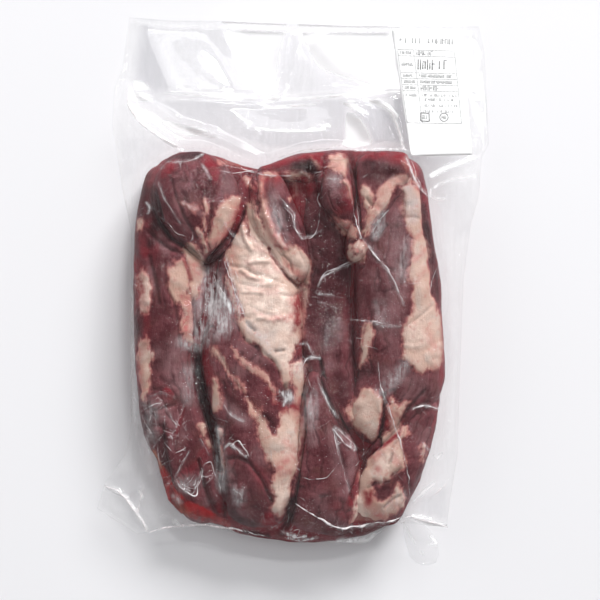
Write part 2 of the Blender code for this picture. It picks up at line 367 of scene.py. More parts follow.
# Where fat is bright and clean, with light painted on fat walls in shade, and where it is stained pink
BRIGHT_FAT_AND_PAINTED_LIGHT = [
    ([(277, 262, 5), (287, 274, 5), (298, 286, 4)], 0.95),
    ([(140, 274, 4), (142, 298, 5), (141, 320, 4)], 0.5),
    ([(146, 284, 4), (149, 301, 4)], 0.6),
    ([(250, 243, 8), (262, 268, 20), (268, 300, 26), (282, 335, 16), (286, 360, 7)], 1.0),
    ([(284, 425, 12), (287, 450, 10)], 0.5),
    ([(283, 488, 9), (281, 506, 6)], 0.7),
    ([(420, 345, 16), (420, 312, 7)], 0.65),
    ([(416, 285, 7), (414, 250, 6)], 0.35),
    ([(388, 455, 9), (378, 470, 6)], 0.65),
    ([(358, 498, 6), (359, 512, 7)], 0.9),
    ([(372, 426, 7)], 0.5),
    ([(366, 408, 12)], 0.4),
    ([(398, 498, 7)], 0.4),
    ([(178, 281, 9)], 0.15),
    ([(395, 186, 5), (384, 198, 5), (374, 214, 5)], 0.35),
    ([(338, 166, 5)], 0.3),
    ([(294, 258, 6), (304, 268, 6)], 0.6),
    ([(358, 247, 5), (353, 258, 4)], 0.6),
    ([(250, 182, 4)], 0.6),
    ([(301, 375, 5)], 0.5),
    ([(145, 350, 4), (148, 368, 3)], 0.5),
    ([(422, 262, 2), (416, 276, 2)], 0.5),
    ([(142, 223, 4)], 0.6),
    ([(228, 216, 5)], 0.3),
    ([(367, 335, 4), (363, 355, 4)], 0.3),
    ([(364, 194, 4)], 0.3),
    ([(153, 450, 4), (159, 464, 4)], 0.9),
    ([(178, 506, 4), (186, 514, 3)], 0.5),
]
# Pink stains, and pink-orange painted shade along the fold lines of the broad patch
PINK_FAT_AND_FOLD_SHADE = [
    ([(377, 468, 3)], 0.9),
    ([(373, 458, 3), (384, 447, 3)], 0.7),
    ([(371, 494, 4), (368, 503, 4)], 0.9),
    ([(376, 512, 4), (383, 517, 4)], 0.8),
    ([(392, 500, 3), (398, 508, 3)], 0.4),
    ([(391, 450, 2), (397, 462, 3)], 0.5),
    ([(285, 440, 3), (293, 448, 4)], 0.5),
    ([(425, 330, 3), (432, 348, 4)], 0.4),
    ([(238, 206, 3), (234, 220, 4), (224, 238, 4), (214, 244, 4)], 0.7),
    ([(137, 280, 4), (138, 305, 4)], 0.9),
    ([(139, 350, 3), (141, 390, 3)], 0.9),
    ([(262, 182, 4), (262, 200, 4), (268, 220, 4), (277, 242, 4)], 0.75),
    ([(286, 262, 3), (300, 276, 4), (309, 276, 3)], 0.7),
    ([(330, 164, 5), (344, 172, 5)], 0.55),
    ([(333, 220, 4), (344, 226, 5), (354, 232, 4)], 0.95),
    ([(402, 180, 4), (384, 190, 6), (376, 208, 6), (368, 226, 5)], 0.5),
    ([(234, 250, 4), (234, 266, 4)], 0.4),
    ([(296, 301, 7), (302, 314, 5), (296, 320, 4)], 0.9),
    ([(258, 248, 3), (270, 256, 3)], 0.4),
    ([(413, 262, 1.6), (426, 248, 1.6)], 0.8),
    ([(415, 282, 1.6), (428, 266, 1.6)], 0.6),
    ([(414, 240, 1.6), (424, 230, 1.6)], 0.6),
    ([(424, 372, 3), (438, 366, 3)], 0.5),
    ([(364, 490, 3), (368, 500, 3), (378, 512, 4)], 0.5),
    ([(274, 468, 5), (282, 464, 5), (291, 457, 4)], 0.7),
    ([(300, 400, 5), (296, 410, 5), (302, 420, 4)], 0.8),
    ([(232, 347, 3), (252, 366, 3), (272, 384, 4), (275, 400, 3)], 0.4),
    ([(194, 264, 5), (198, 274, 4)], 0.6),
    ([(305, 366, 3)], 0.4),
    ([(389, 404, 3), (393, 424, 4)], 0.5),
    ([(377, 432, 4)], 0.5),
    ([(397, 440, 4), (404, 430, 3)], 0.4),
    ([(186, 300, 6), (186, 330, 6)], 0.9),
    ([(404, 162, 3), (411, 174, 4), (417, 188, 3)], 0.8),
    ([(228, 164, 4), (240, 166, 4), (222, 161, 3)], 0.7),
    ([(247, 262, 2), (256, 270, 2), (268, 272, 2)], 0.4),
    ([(250, 288, 2), (264, 292, 2), (276, 290, 2)], 0.35),
    ([(256, 312, 2), (268, 316, 2), (282, 314, 2)], 0.35),
    ([(232, 272, 2), (246, 275, 2), (262, 281, 2)], 0.5),
    ([(262, 290, 3), (276, 292, 3)], 0.45),
    ([(270, 318, 2), (286, 318, 3), (296, 314, 4)], 0.75),
    ([(272, 262, 2), (278, 272, 2)], 0.5),
    ([(357, 251, 2)], 1.0),
    ([(364, 246, 3), (362, 258, 3)], 0.5),
]

# Thin seams and threads of fat
FAT_STROKES = [
    [(365, 474, 3.2), (362, 492, 4.4), (361, 508, 5), (362, 520, 4)],
    [(199, 231, 1.8), (204, 240, 2.8), (207, 250, 2.6)],
    [(232, 347, 0.6), (241, 357, 1.4), (252, 366, 2.2), (262, 372, 3.2), (269, 380, 2.4), (274, 390, 1.6),
     (275, 400, 1.2)],
    [(217, 349, 3.4), (221, 356, 1.8), (226, 366, 0.9), (237, 379, 0.8), (246, 392, 0.8)],
    [(247, 398, 1.6), (252, 408, 2.6), (257, 416, 2.0)],
    [(215, 380, 2.4), (217, 392, 4.2), (217, 406, 3.6)],
    [(220, 428, 2.4), (219, 448, 2.4), (222, 470, 2.0)],
    [(202, 426, 3.2), (205, 435, 2.4)],
    [(210, 441, 2.4), (213, 449, 2.0)],
    [(206, 202, 2.8), (207, 212, 1.8), (207, 231, 1.0)],
    [(184, 205, 1.0), (192, 208, 1.6), (199, 211, 1.2)],
    [(246, 178, 2.4), (250, 182, 4.0), (252, 188, 1.6)],
    [(222, 160, 2.0), (230, 163, 3.0), (238, 166, 2.6), (246, 170, 1.2)],
    [(287, 176, 2.0), (293, 182, 2.6), (297, 192, 2.0), (292, 200, 1.4)],
    [(262, 180, 3.0), (262, 199, 3.4), (266, 214, 3.6), (270, 226, 3.8), (277, 241, 3.8),
     (283, 249, 2.6)],
    [(251, 206, 2.4), (254, 222, 5.4), (259, 236, 6.4), (267, 246, 4.0)],
    [(263, 212, 3.4), (267, 228, 4.2), (272, 243, 4.8), (278, 256, 4.8), (286, 268, 4.8),
     (296, 278, 3.6)],
    [(226, 276, 1.4), (233, 296, 1.8), (241, 316, 1.8)],
    [(266, 177, 2.4), (276, 176, 2.4)],
    [(292, 175, 2.6), (302, 174, 2.4), (309, 179, 2.0)],
    [(350, 249, 3.4), (357, 244, 3.4), (364, 249, 3.4), (362, 257, 3.4), (354, 260, 3.4), (350, 254, 3.0),
     (357, 251, 3.0)],
    [(381, 440, 2.6), (389, 434, 3.4)],
    [(185, 292, 5.0), (188, 306, 5.4), (187, 322, 5.0), (189, 338, 4.0), (197, 344, 3.0)],
    [(424, 446, 2.0), (422, 458, 1.8)],
    [(402, 160, 1.2), (408, 168, 2.6), (413, 178, 2.8), (417, 188, 1.8)],
    [(311, 158, 1.4), (318, 168, 1.0)],
    [(343, 181, 2.0), (350, 192, 1.6), (353, 205, 1.0)],
]

# Where the muscle is dark, with juice lying on it, and painted shade in grooves and hollows: rows and how
# strong
DARK_AND_SHADE_STROKES = [
    ([(392, 452, 0.9), (390, 460, 0.9)], 0.8),
    ([(400, 462, 2), (392, 474, 3)], 0.4),
    ([(350, 152, 4), (350, 168, 4)], 0.7),
    ([(398, 178, 2.4), (404, 183, 2.4)], 0.6),
    ([(402, 195, 2.4), (404, 208, 2.4)], 0.5),
    ([(146, 196, 7), (146, 214, 8)], 0.7),
    ([(153, 196, 4), (156, 222, 5), (152, 246, 4)], 0.8),
    ([(150, 236, 5), (156, 262, 6), (161, 288, 5)], 0.35),
    ([(196, 350, 4), (198, 372, 5), (203, 398, 6), (210, 418, 6), (216, 440, 4), (219, 468, 3)], 1.0),
    ([(206, 268, 6), (216, 256, 4)], 0.8),
    ([(163, 438, 5), (166, 462, 5), (171, 482, 4)], 0.8),
    ([(326, 222, 18), (328, 256, 22), (324, 300, 19), (328, 335, 14)], 0.6),
    ([(318, 236, 8), (306, 232, 6)], 0.7),
    ([(348, 266, 6), (350, 290, 7), (352, 320, 5), (352, 345, 3)], 0.5),
    ([(296, 168, 6), (308, 168, 8), (318, 172, 4)], 1.0),
    ([(372, 170, 12), (396, 172, 8), (406, 178, 4)], 0.7),
    ([(320, 360, 2), (324, 388, 3), (334, 410, 3.5), (346, 432, 3)], 0.9),
    ([(364, 454, 1.6), (356, 476, 1.8), (350, 500, 2)], 0.5),
    ([(224, 470, 4), (228, 505, 6), (238, 520, 5), (252, 524, 4)], 0.65),
    ([(240, 478, 8), (252, 500, 9)], 0.45),
    ([(206, 470, 3), (209, 490, 4), (218, 512, 4)], 0.55),
    ([(292, 500, 5), (288, 520, 5), (282, 532, 5)], 0.9),
    ([(286, 388, 4), (281, 398, 3)], 0.6),
    ([(423, 206, 3), (428, 232, 4), (434, 262, 4), (438, 300, 2)], 0.8),
    ([(326, 533, 4), (350, 533, 5), (372, 530, 4.5), (390, 525, 3)], 0.55),
    ([(245, 532, 3), (268, 536, 3)], 0.9),
    ([(286, 210, 6), (290, 226, 6)], 0.8),
    ([(316, 186, 4), (320, 204, 5)], 0.5),
    ([(152, 415, 6), (147, 428, 5)], 0.7),
    ([(272, 420, 5), (262, 414, 3)], 0.6),
    ([(380, 489, 4), (388, 484, 4), (398, 473, 4)], 0.3),
    ([(168, 160, 3), (178, 156, 4), (200, 156, 4)], 0.8),
    ([(370, 164, 6), (386, 166, 7), (400, 172, 5)], 0.6),
    ([(146, 410, 4), (150, 425, 5), (154, 440, 4)], 0.6),
    ([(268, 198, 5), (276, 206, 6), (286, 214, 6)], 0.45),
    ([(340, 380, 7), (345, 400, 6)], 0.35),
    ([(396, 226, 3), (402, 214, 3)], 0.5),
    ([(134, 318, 3), (137, 332, 4)], 0.5),
    ([(158, 345, 8), (160, 362, 8)], 0.3),
    ([(186, 410, 5), (192, 425, 5)], 0.4),
    ([(180, 240, 3), (192, 250, 3)], 0.6),
    ([(233, 455, 4), (244, 462, 4)], 0.35),
]

# Where it is bright with fresh juice
BLOOD_STROKES = [
    ([(370, 490, 2), (369, 499, 2.4)], 0.9),
    ([(171, 162, 5), (172, 170, 4), (163, 176, 3)], 0.85),
    ([(206, 159, 4), (214, 170, 6), (219, 182, 4)], 0.85),
    ([(241, 206, 3), (239, 218, 4), (235, 230, 4), (226, 241, 3)], 1.0),
    ([(246, 182, 9), (252, 196, 5)], 0.45),
    ([(262, 182, 5), (274, 180, 6), (284, 176, 5)], 0.75),
    ([(262, 200, 4), (265, 192, 4)], 0.7),
    ([(303, 180, 5), (312, 186, 5), (306, 194, 4)], 0.8),
    ([(266, 168, 5), (282, 160, 6), (300, 155, 5), (320, 158, 6), (322, 174, 3)], 0.9),
    ([(348, 156, 4), (362, 155, 5), (382, 156, 6), (402, 160, 7), (412, 172, 5)], 0.85),
    ([(352, 176, 3), (354, 200, 3), (358, 220, 3)], 0.9),
    ([(420, 186, 3), (427, 205, 3), (433, 232, 3), (437, 262, 3), (441, 300, 3)], 0.8),
    ([(158, 172, 4), (150, 184, 3)], 0.5),
    ([(243, 172, 3), (256, 190, 4), (246, 196, 3)], 0.5),
    ([(138, 262, 4), (140, 280, 5), (144, 292, 3)], 0.8),
    ([(300, 330, 4), (300, 352, 3)], 0.4),
    ([(355, 170, 2), (357, 200, 2.4), (358, 226, 2)], 0.7),
    ([(302, 402, 3), (303, 440, 2), (298, 470, 2)], 0.6),
    ([(286, 500, 3), (280, 524, 3)], 0.5),
    ([(344, 190, 5), (350, 208, 4), (336, 212, 4)], 0.5),
    ([(134, 258, 4), (136, 276, 4), (140, 292, 4), (135, 312, 3)], 0.95),
    ([(142, 240, 5), (146, 252, 6)], 0.6),
    ([(134, 338, 2), (136, 360, 2), (138, 390, 2)], 0.8),
    ([(301, 292, 3), (298, 304, 5), (299, 318, 5), (294, 330, 3)], 0.85),
    ([(268, 520, 7), (276, 526, 4)], 1.0),
    ([(330, 531, 4), (352, 533, 5), (374, 529, 5), (392, 522, 3)], 0.8),
    ([(142, 270, 4), (148, 330, 4), (145, 352, 3)], 0.4),
    ([(146, 196, 5), (152, 230, 5), (158, 262, 4)], 0.4),
    ([(184, 260, 1.6), (189, 270, 2), (192, 280, 1.6)], 0.95),
    ([(167, 389, 2.4), (172, 392, 2.6), (171, 396, 2)], 0.9),
    ([(186, 403, 1.6), (181, 420, 1.6), (177, 436, 1.4)], 0.8),
    ([(205, 346, 4), (207, 362, 5), (209, 380, 5)], 0.8),
    ([(386, 412, 3), (388, 428, 3)], 0.85),
    ([(293, 405, 2.6), (298, 410, 3)], 0.9),
    ([(366, 492, 3), (368, 500, 3)], 0.8),
    ([(365, 453, 2), (357, 476, 2), (350, 502, 3)], 0.9),
    ([(352, 246, 1.2), (354, 253, 1.2), (352, 257, 1)], 0.8),
    ([(421, 190, 3), (427, 208, 4), (433, 232, 4)], 0.7),
    ([(376, 448, 2), (386, 442, 2.4), (395, 434, 2)], 1.0),
    ([(282, 268, 1.5), (288, 278, 2), (300, 287, 2)], 0.8),
    ([(276, 246, 1.5), (288, 250, 1.5)], 0.8),
    ([(284, 258, 1.2), (288, 266, 1.2)], 0.5),
    ([(290, 470, 3), (280, 474, 2)], 0.4),
    ([(302, 428, 2.5), (303, 448, 2.5), (297, 458, 2)], 0.5),
    ([(440, 300, 2), (442, 345, 2.5), (442, 390, 3), (438, 420, 4), (430, 455, 3), (417, 492, 3),
      (405, 512, 4)], 0.8),
    ([(345, 300, 8), (345, 330, 6)], 0.25),
    ([(206, 452, 5), (198, 462, 4), (178, 480, 4)], 0.45),
    ([(226, 440, 5), (236, 450, 6)], 0.3),
    ([(258, 468, 6), (264, 482, 5)], 0.3),
    ([(268, 390, 3), (276, 402, 4), (286, 410, 3)], 0.5),
    ([(255, 262, 2), (266, 266, 2)], 0.25),
    ([(334, 505, 6), (345, 515, 5)], 0.35),
    ([(396, 412, 2), (401, 420, 2)], 0.5),
]

# Where a pale skin lies over the muscle, and where the same pale grey is painted sheen
SKIN_AND_SHEEN_STROKES = [
    ([(228, 178, 7), (230, 192, 7)], 0.5),
    ([(182, 178, 6), (186, 195, 8), (196, 206, 6)], 0.25),
    ([(186, 206, 2.5), (198, 211, 2.5), (205, 216, 2)], 1.0),
    ([(176, 200, 4), (190, 232, 4)], 0.3),
    ([(166, 248, 5), (160, 240, 4)], 0.35),
    ([(398, 215, 8), (396, 240, 10), (394, 270, 12), (390, 300, 12), (392, 330, 9)], 0.42),
    ([(374, 275, 5), (378, 300, 5), (380, 330, 4)], 0.4),
    ([(407, 190, 5), (411, 204, 7), (411, 218, 5)], 1.0),
    ([(407, 240, 4), (404, 270, 4), (402, 296, 4)], 0.6),
    ([(204, 258, 4), (212, 268, 4)], 0.5),
    ([(212, 285, 8), (216, 305, 12), (226, 322, 8)], 0.85),
    ([(206, 300, 6), (200, 325, 8), (198, 340, 5)], 0.9),
    ([(273, 200, 5), (275, 216, 5), (280, 232, 5), (287, 243, 4)], 1.0),
    ([(312, 400, 5), (310, 420, 5), (313, 440, 4)], 0.95),
    ([(330, 430, 5), (336, 455, 5), (340, 480, 5)], 0.45),
    ([(322, 500, 10), (335, 515, 8)], 0.3),
    ([(244, 346, 10), (262, 356, 8), (236, 372, 8)], 0.35),
    ([(232, 410, 6), (246, 420, 5), (224, 402, 4)], 0.7),
    ([(258, 448, 4), (262, 460, 5)], 0.4),
    ([(228, 470, 5), (227, 484, 4)], 0.9),
    ([(178, 345, 9), (172, 365, 9), (180, 385, 8)], 0.55),
    ([(158, 352, 5)], 0.45),
    ([(160, 408, 8), (172, 420, 8)], 0.45),
    ([(150, 422, 4), (154, 436, 4)], 0.5),
    ([(176, 444, 5), (184, 430, 5)], 0.3),
    ([(404, 378, 8), (420, 386, 9), (402, 396, 5)], 0.45),
    ([(386, 370, 6), (390, 384, 5)], 0.5),
    ([(334, 188, 8)], 0.45),
    ([(366, 246, 5), (376, 256, 4)], 0.55),
    ([(356, 446, 5), (350, 470, 6), (346, 490, 5)], 0.45),
    ([(388, 338, 6), (395, 354, 6)], 0.35),
    ([(250, 330, 4), (262, 336, 4), (272, 334, 4)], 0.5),
    ([(346, 436, 6), (350, 446, 5)], 0.5),
    ([(426, 432, 4), (420, 450, 4)], 0.5),
    ([(330, 365, 6)], 0.35),
    ([(152, 204, 3), (147, 214, 3)], 0.6),
    ([(152, 270, 3), (154, 290, 3)], 0.4),
    ([(240, 492, 4)], 0.5),
    ([(226, 276, 2), (241, 316, 2)], 0.7),
    ([(206, 500, 2), (214, 512, 2)], 0.5),
]

# Thin juice that has run to the corner of the bag
JUICE_STROKES = [
    ([(154, 452, 2), (159, 466, 3), (164, 480, 5), (170, 493, 7), (182, 506, 8), (200, 513, 7),
      (228, 525, 3)], 1.0),
]

# Low forms on the strips: rows and how far they stand up, or down where it is negative; creases get painted
# shade
RELIEF_STROKES = [
    ([(398, 437, 1), (391, 448, 1), (388, 462, 1)], -0.8),
    ([(384, 506, 1), (392, 498, 1), (400, 494, 1)], -0.9),
    ([(372, 478, 1), (381, 485, 1)], -0.6),
    ([(155, 190, 2), (158, 206, 3), (162, 224, 3.4), (172, 238, 3.4), (186, 247, 2.4), (200, 258, 1.6)],
      -3.6),
    ([(171, 178, 1.4), (178, 200, 1.5), (186, 220, 1.5), (198, 238, 1.4)], -1.4),
    ([(221, 176, 1.2), (214, 196, 1.2), (211, 215, 1.2), (209, 240, 1.2)], -1.2),
    ([(246, 208, 1.6), (240, 224, 2.2), (230, 240, 2.8), (218, 252, 2.6), (206, 264, 2)], -3.0),
    ([(196, 348, 3), (198, 370, 3.4), (203, 396, 3.4), (210, 418, 3.2), (216, 440, 3), (219, 470, 2.4)],
      -4.2),
    ([(236, 322, 1.5), (246, 340, 1.5), (262, 350, 1.5), (276, 362, 1.5), (282, 380, 1.5)], -1.0),
    ([(219, 350, 1.2), (230, 372, 1.2), (246, 394, 1.2), (258, 412, 1.2)], -0.9),
    ([(224, 382, 2), (229, 408, 2.4), (222, 440, 2.4)], -1.2),
    ([(222, 470, 2), (226, 458, 2), (238, 456, 2), (250, 462, 2), (262, 478, 2), (272, 500, 2)], -2.0),
    ([(148, 232, 2.4), (160, 242, 2.4), (172, 250, 2.4), (184, 253, 2)], -2.0),
    ([(150, 258, 2), (156, 282, 2), (160, 304, 2)], -1.4),
    ([(166, 262, 1.4), (166, 285, 1.4), (175, 303, 1.4)], -1.0),
    ([(194, 302, 2), (197, 325, 2.4), (195, 345, 2.4)], -2.0),
    ([(176, 306, 1.4), (179, 330, 1.4), (181, 346, 1.4)], -1.0),
    ([(186, 402, 1.2), (180, 425, 1.2), (175, 450, 1.2)], -1.0),
    ([(164, 425, 3), (165, 450, 3.4), (169, 478, 3)], -2.6),
    ([(141, 404, 1.6), (156, 410, 1.6), (176, 404, 1.6)], -1.2),
    ([(142, 430, 1.6), (158, 425, 1.6), (174, 432, 1.6)], -1.0),
    ([(199, 460, 1.6), (204, 484, 1.6), (214, 512, 1.6)], -1.8),
    ([(222, 478, 1.6), (224, 500, 1.6), (226, 524, 1.6)], -2.4),
    ([(340, 340, 8), (342, 370, 8)], 0.8),
    ([(383, 394, 1.8), (383, 416, 1.8), (378, 444, 1.8)], -3.0),
    ([(424, 390, 1.6), (408, 408, 2), (396, 428, 2), (378, 445, 2), (365, 457, 1.6), (350, 496, 1.6)],
      -2.0),
    ([(404, 425, 1.4), (400, 445, 1.4), (404, 462, 1.4), (410, 490, 1.4)], -0.9),
    ([(368, 487, 1.4), (375, 482, 1.4), (389, 481, 1.4), (400, 467, 1.4)], -0.9),
    ([(333, 430, 1.4), (344, 465, 1.4), (352, 500, 1.4)], -1.1),
    ([(320, 360, 2), (324, 388, 2.2), (334, 410, 2.4), (347, 433, 2)], -3.0),
    ([(303, 395, 1.6), (304, 430, 1.6), (300, 458, 1.6), (294, 500, 2.2), (286, 530, 2.2)], -3.0),
    ([(324, 156, 1.6), (322, 176, 1.6), (318, 196, 1.6)], -1.8),
    ([(351, 156, 1.6), (353, 180, 1.6), (357, 210, 1.6), (360, 232, 1.4)], -2.6),
    ([(352, 264, 2), (353, 290, 3), (354, 320, 2.4)], -1.0),
    ([(357, 252, 8)], 2.4),
    ([(176, 246, 8)], 1.4),
    ([(306, 184, 7)], 2.2),
    ([(262, 184, 3), (262, 200, 3.4), (267, 218, 3.6), (274, 236, 3.6), (284, 250, 3)], 1.6),
    ([(251, 204, 2.4), (253, 220, 3), (259, 236, 3), (267, 246, 2)], -1.0),
    ([(283, 256, 1), (290, 262, 1), (292, 272, 1)], -0.8),
    ([(298, 250, 1), (304, 264, 1)], -0.6),
    ([(284, 206, 6), (288, 222, 6)], -3.0),
    ([(270, 249, 1), (277, 264, 1), (286, 275, 1), (299, 288, 1)], -1.0),
    ([(241, 490, 9), (243, 505, 8)], 2.4),
    ([(268, 516, 6)], 1.8),
    ([(208, 478, 4), (214, 498, 5), (219, 512, 4)], 1.8),
    ([(286, 386, 4), (287, 402, 4)], -2.4),
    ([(378, 186, 3), (372, 206, 3), (366, 226, 3)], 1.2),
    ([(386, 226, 1.6), (376, 238, 1.6)], -1.4),
    ([(420, 188, 1.4), (423, 225, 1.4), (430, 262, 1.4), (432, 296, 1.4)], -1.6),
    ([(243, 226, 2), (246, 240, 2), (252, 250, 2)], 1.4),
    ([(250, 263, 1.6), (262, 261, 1.6), (270, 262, 1.2)], 1.0),
    ([(242, 270, 1.4), (250, 277, 1.6), (259, 279, 1.2)], 1.1),
    ([(244, 292, 1.4), (254, 292, 1.4), (263, 293, 1.0)], 0.9),
    ([(258, 317, 1.4), (272, 320, 1.4), (286, 316, 1.2)], 0.8),
    ([(380, 168, 9), (394, 171, 6)], 1.8),
    ([(231, 266, 1.2), (247, 269, 1.2), (258, 276, 1.0)], -0.9),
    ([(250, 272, 1), (266, 277, 1), (282, 283, 1)], -0.7),
    ([(242, 284, 1), (256, 287, 1), (270, 288, 1)], -0.7),
    ([(281, 295, 1), (293, 296, 1), (306, 290, 1)], -0.9),
    ([(250, 305, 1), (264, 313, 1.2), (280, 316, 1)], -0.6),
    ([(247, 322, 1.2), (251, 327, 1.2), (255, 330, 1)], -1.7),
    ([(276, 351, 1.6), (284, 350, 1.4)], -1.5),
    ([(366, 200, 1), (372, 208, 1)], -1.2),
    ([(398, 219, 1), (410, 218, 1), (418, 219, 1)], -0.7),
    ([(402, 328, 1), (416, 318, 1), (430, 306, 1)], -0.8),
    ([(296, 214, 1.6), (301, 232, 1.6), (314, 238, 1.6)], -1.2),
    ([(322, 276, 1.5), (336, 268, 1.5), (350, 262, 1.5)], -1.0),
]

LEAST_SOFTNESS = 0.8
FACING_GAIN, FACING_START = 1.6, 0.25
FACES_DOWN = -0.5
SEED_STEP, LUMP_SEED_STEP, SPLIT_SEED, BACK_FAT_SEED = 40.0, 7.3, 9.0, 5.0
WANDER_SEEDS = ((3.0, 8.0), (60.0, 40.0))
FAT_RISE = 0.6
FAT_SHOULDER = (0.8, 2.2)
CREASE_EDGE = 1.0
DEEPEST_CREASE = 3.6
CREASE_DARKEST = 0.9
CREASE_SHARPNESS = 1.3
CREASE_SHADE_GAIN, CREASE_SHADE_START = 1.5, 0.45
BACK_LUMP_SHARE = 0.15
BUNDLE_LENGTH = 42.0
BUNDLE_WIDTH = 8.5
BUNDLE_GAP = 0.1
BUNDLE_CREASE = 0.75
BUNDLE_SHADE = 0.5
WRINKLE_HEIGHT = 0.8
WRINKLE_SIZE = (15.0, 11.0)
WRINKLE_SHADE = 2.6
WRINKLE_SLANT = 0.9
JUICE_SOFTNESS = 0.7
BACK_FAT_SIZE = (17.0, 34.0)
BACK_FAT_DEPTH, BACK_FAT_SCARCE = 3.2, 1.1
BACK_DARK, BACK_BLOOD, BACK_PINK = 0.35, 0.25, 0.4

# Forms made by noise: the size of each and how far it reaches
LUMPS = ((26.0, 0.9), (10.0, 0.4), (4.0, 0.14))
EDGE_WANDER = ((8.0, 2.2), (3.0, 1.4))
BUNDLE_BEND = (6.0, 0.3)
SPLIT_PATCHES = (22.0, 2.2)
WRINKLE_BEND = (15.0, 2.0)


def mean_reach(rows):
    """A stroke's reach on average, in pixels."""
    return float(np.mean([row[2] for row in rows]))


def share_inside(depth, reach):
    """A soft rise from nought, outside an edge by the reach, to one inside it."""
    return smooth_step(0.5 + 0.5 * depth / reach)


def painted(x, y, strokes, softness=0.5):
    """The strongest of the soft strokes at each point."""
    value = np.zeros(len(x))
    for rows, strength in strokes:
        reach = softness * PIXEL * mean_reach(rows) + LEAST_SOFTNESS
        value = np.maximum(value, strength * share_inside(stroke_depth(x, y, rows, reach), reach))
    return value


def noise_at(x, y, z, size):
    """Smooth noise about nought at each point, its forms about twice the size across."""
    return np.array([noise.noise(Vector(p)) for p in np.column_stack([x, y, z]) / size])


def formed(x, y, z, form):
    """Noise of one form's size and reach."""
    size, reach = form
    return reach * noise_at(x, y, z, size)


def wander(x, y, levels):
    """How far a fat's edge strays at each point, from one level of noise for each form."""
    return sum(formed(x, y, np.full(len(x), level), form) for form, level in zip(EDGE_WANDER, levels))


def fat_depth(x, y):
    """Depth inside the nearest fat, whose edges wander a little."""
    x, y = x + wander(x, y, WANDER_SEEDS[0]), y + wander(x, y, WANDER_SEEDS[1])
    depth = np.full(len(x), -FAR)
    for corners in FAT_AREAS:
        depth = np.maximum(depth, area_depth(x, y, corners, FAR))
    for rows in FAT_STROKES:
        depth = np.maximum(depth, stroke_depth(x, y, rows, FAR))
    return np.minimum(depth, FAR)


def dressed(points, faces, seed, grain_along, grain_round):
    """The points moved by the meat's low forms, with the painted values of its surface."""
    bare = mesh_from("bare", points, faces)
    normals = np.zeros(len(points) * 3, np.float32)
    bare.vertices.foreach_get("normal", normals)
    normals = normals.reshape(-1, 3)
    bpy.data.meshes.remove(bare)
    x, y, z = points.T
    facing_up = smooth_step(normals[:, 2] * FACING_GAIN + FACING_START)
    fat = fat_depth(x, y)
    on_fat = smooth_step((fat + FAT_SHOULDER[0]) / FAT_SHOULDER[1])
    rise = FAT_RISE * on_fat
    crease_shade = np.zeros(len(x))
    # Each crease also darkens towards its floor: painted shade
    for rows, height in RELIEF_STROKES:
        reach = PIXEL * mean_reach(rows) + CREASE_EDGE
        share = np.clip((stroke_depth(x, y, rows, reach) + CREASE_EDGE) / reach, 0.0, 1.0)
        rise += height * (smooth_step(share) if height > 0 else share**CREASE_SHARPNESS)
        if height < 0:
            darkness = min(CREASE_DARKEST, -height / DEEPEST_CREASE)
            shade = smooth_step(share * CREASE_SHADE_GAIN - CREASE_SHADE_START)
            crease_shade = np.maximum(crease_shade, darkness * shade)
    far_seed = np.full(len(x), SEED_STEP * seed)
    # Splits between the muscle bundles sink a little and are darkened with painted shade
    bundle = noise_at(grain_along / BUNDLE_LENGTH, grain_round / BUNDLE_WIDTH, far_seed, 1.0)
    bundle += formed(x, y, far_seed, BUNDLE_BEND)
    split = np.clip(1.0 - np.abs(bundle) / BUNDLE_GAP, 0.0, 1.0) * (1.0 - on_fat)
    split *= smooth_step(0.5 + formed(x, y, far_seed + SPLIT_SEED, SPLIT_PATCHES))
    rise -= BUNDLE_CREASE * split
    bend = formed(x, y, far_seed, WRINKLE_BEND)
    across, along = grain_round / WRINKLE_SIZE[0], grain_along / WRINKLE_SIZE[1]
    wrinkle = noise_at(across + WRINKLE_SLANT * bend, along + bend, far_seed, 1.0)
    rise += WRINKLE_HEIGHT * on_fat * wrinkle
    ground = sum(formed(x, y, z + LUMP_SEED_STEP * seed, lump) for lump in LUMPS)
    move = rise * facing_up + ground * np.where(normals[:, 2] < FACES_DOWN, BACK_LUMP_SHARE, 1.0)
    points = points + normals * move[:, None]
    points[:, 2] = np.maximum(points[:, 2], BACK_HEIGHT)
    under = 1.0 - facing_up
    across, along = x / BACK_FAT_SIZE[0], y / BACK_FAT_SIZE[1]
    back_fat = BACK_FAT_DEPTH * noise_at(across + seed, along, np.full(len(x), BACK_FAT_SEED), 1.0)
    # Dark juice, with painted shade in the creases and in the bundles' splits
    dark = np.maximum(painted(x, y, DARK_AND_SHADE_STROKES), np.maximum(crease_shade, BUNDLE_SHADE * split))
    values = {
        "fat": fat * facing_up + (back_fat - BACK_FAT_SCARCE) * under,
        "dark": dark * facing_up + BACK_DARK * under,
        "blood": painted(x, y, BLOOD_STROKES) * facing_up + BACK_BLOOD * under,
        "skin": painted(x, y, SKIN_AND_SHEEN_STROKES, 1.0) * facing_up,
        "bright": painted(x, y, BRIGHT_FAT_AND_PAINTED_LIGHT, 1.0) * facing_up,
        "pink": np.maximum(painted(x, y, PINK_FAT_AND_FOLD_SHADE, 1.0) * facing_up, BACK_PINK * under),
        "juice": painted(x, y, JUICE_STROKES, JUICE_SOFTNESS) * facing_up,
        # Painted shade in the hollows of the fat's wrinkles
        "fat_fold_shade": np.clip(-WRINKLE_SHADE * wrinkle, 0.0, 1.0) * facing_up,
        "grain_along": grain_along,
        "grain_round": grain_round,
    }
    return points, values


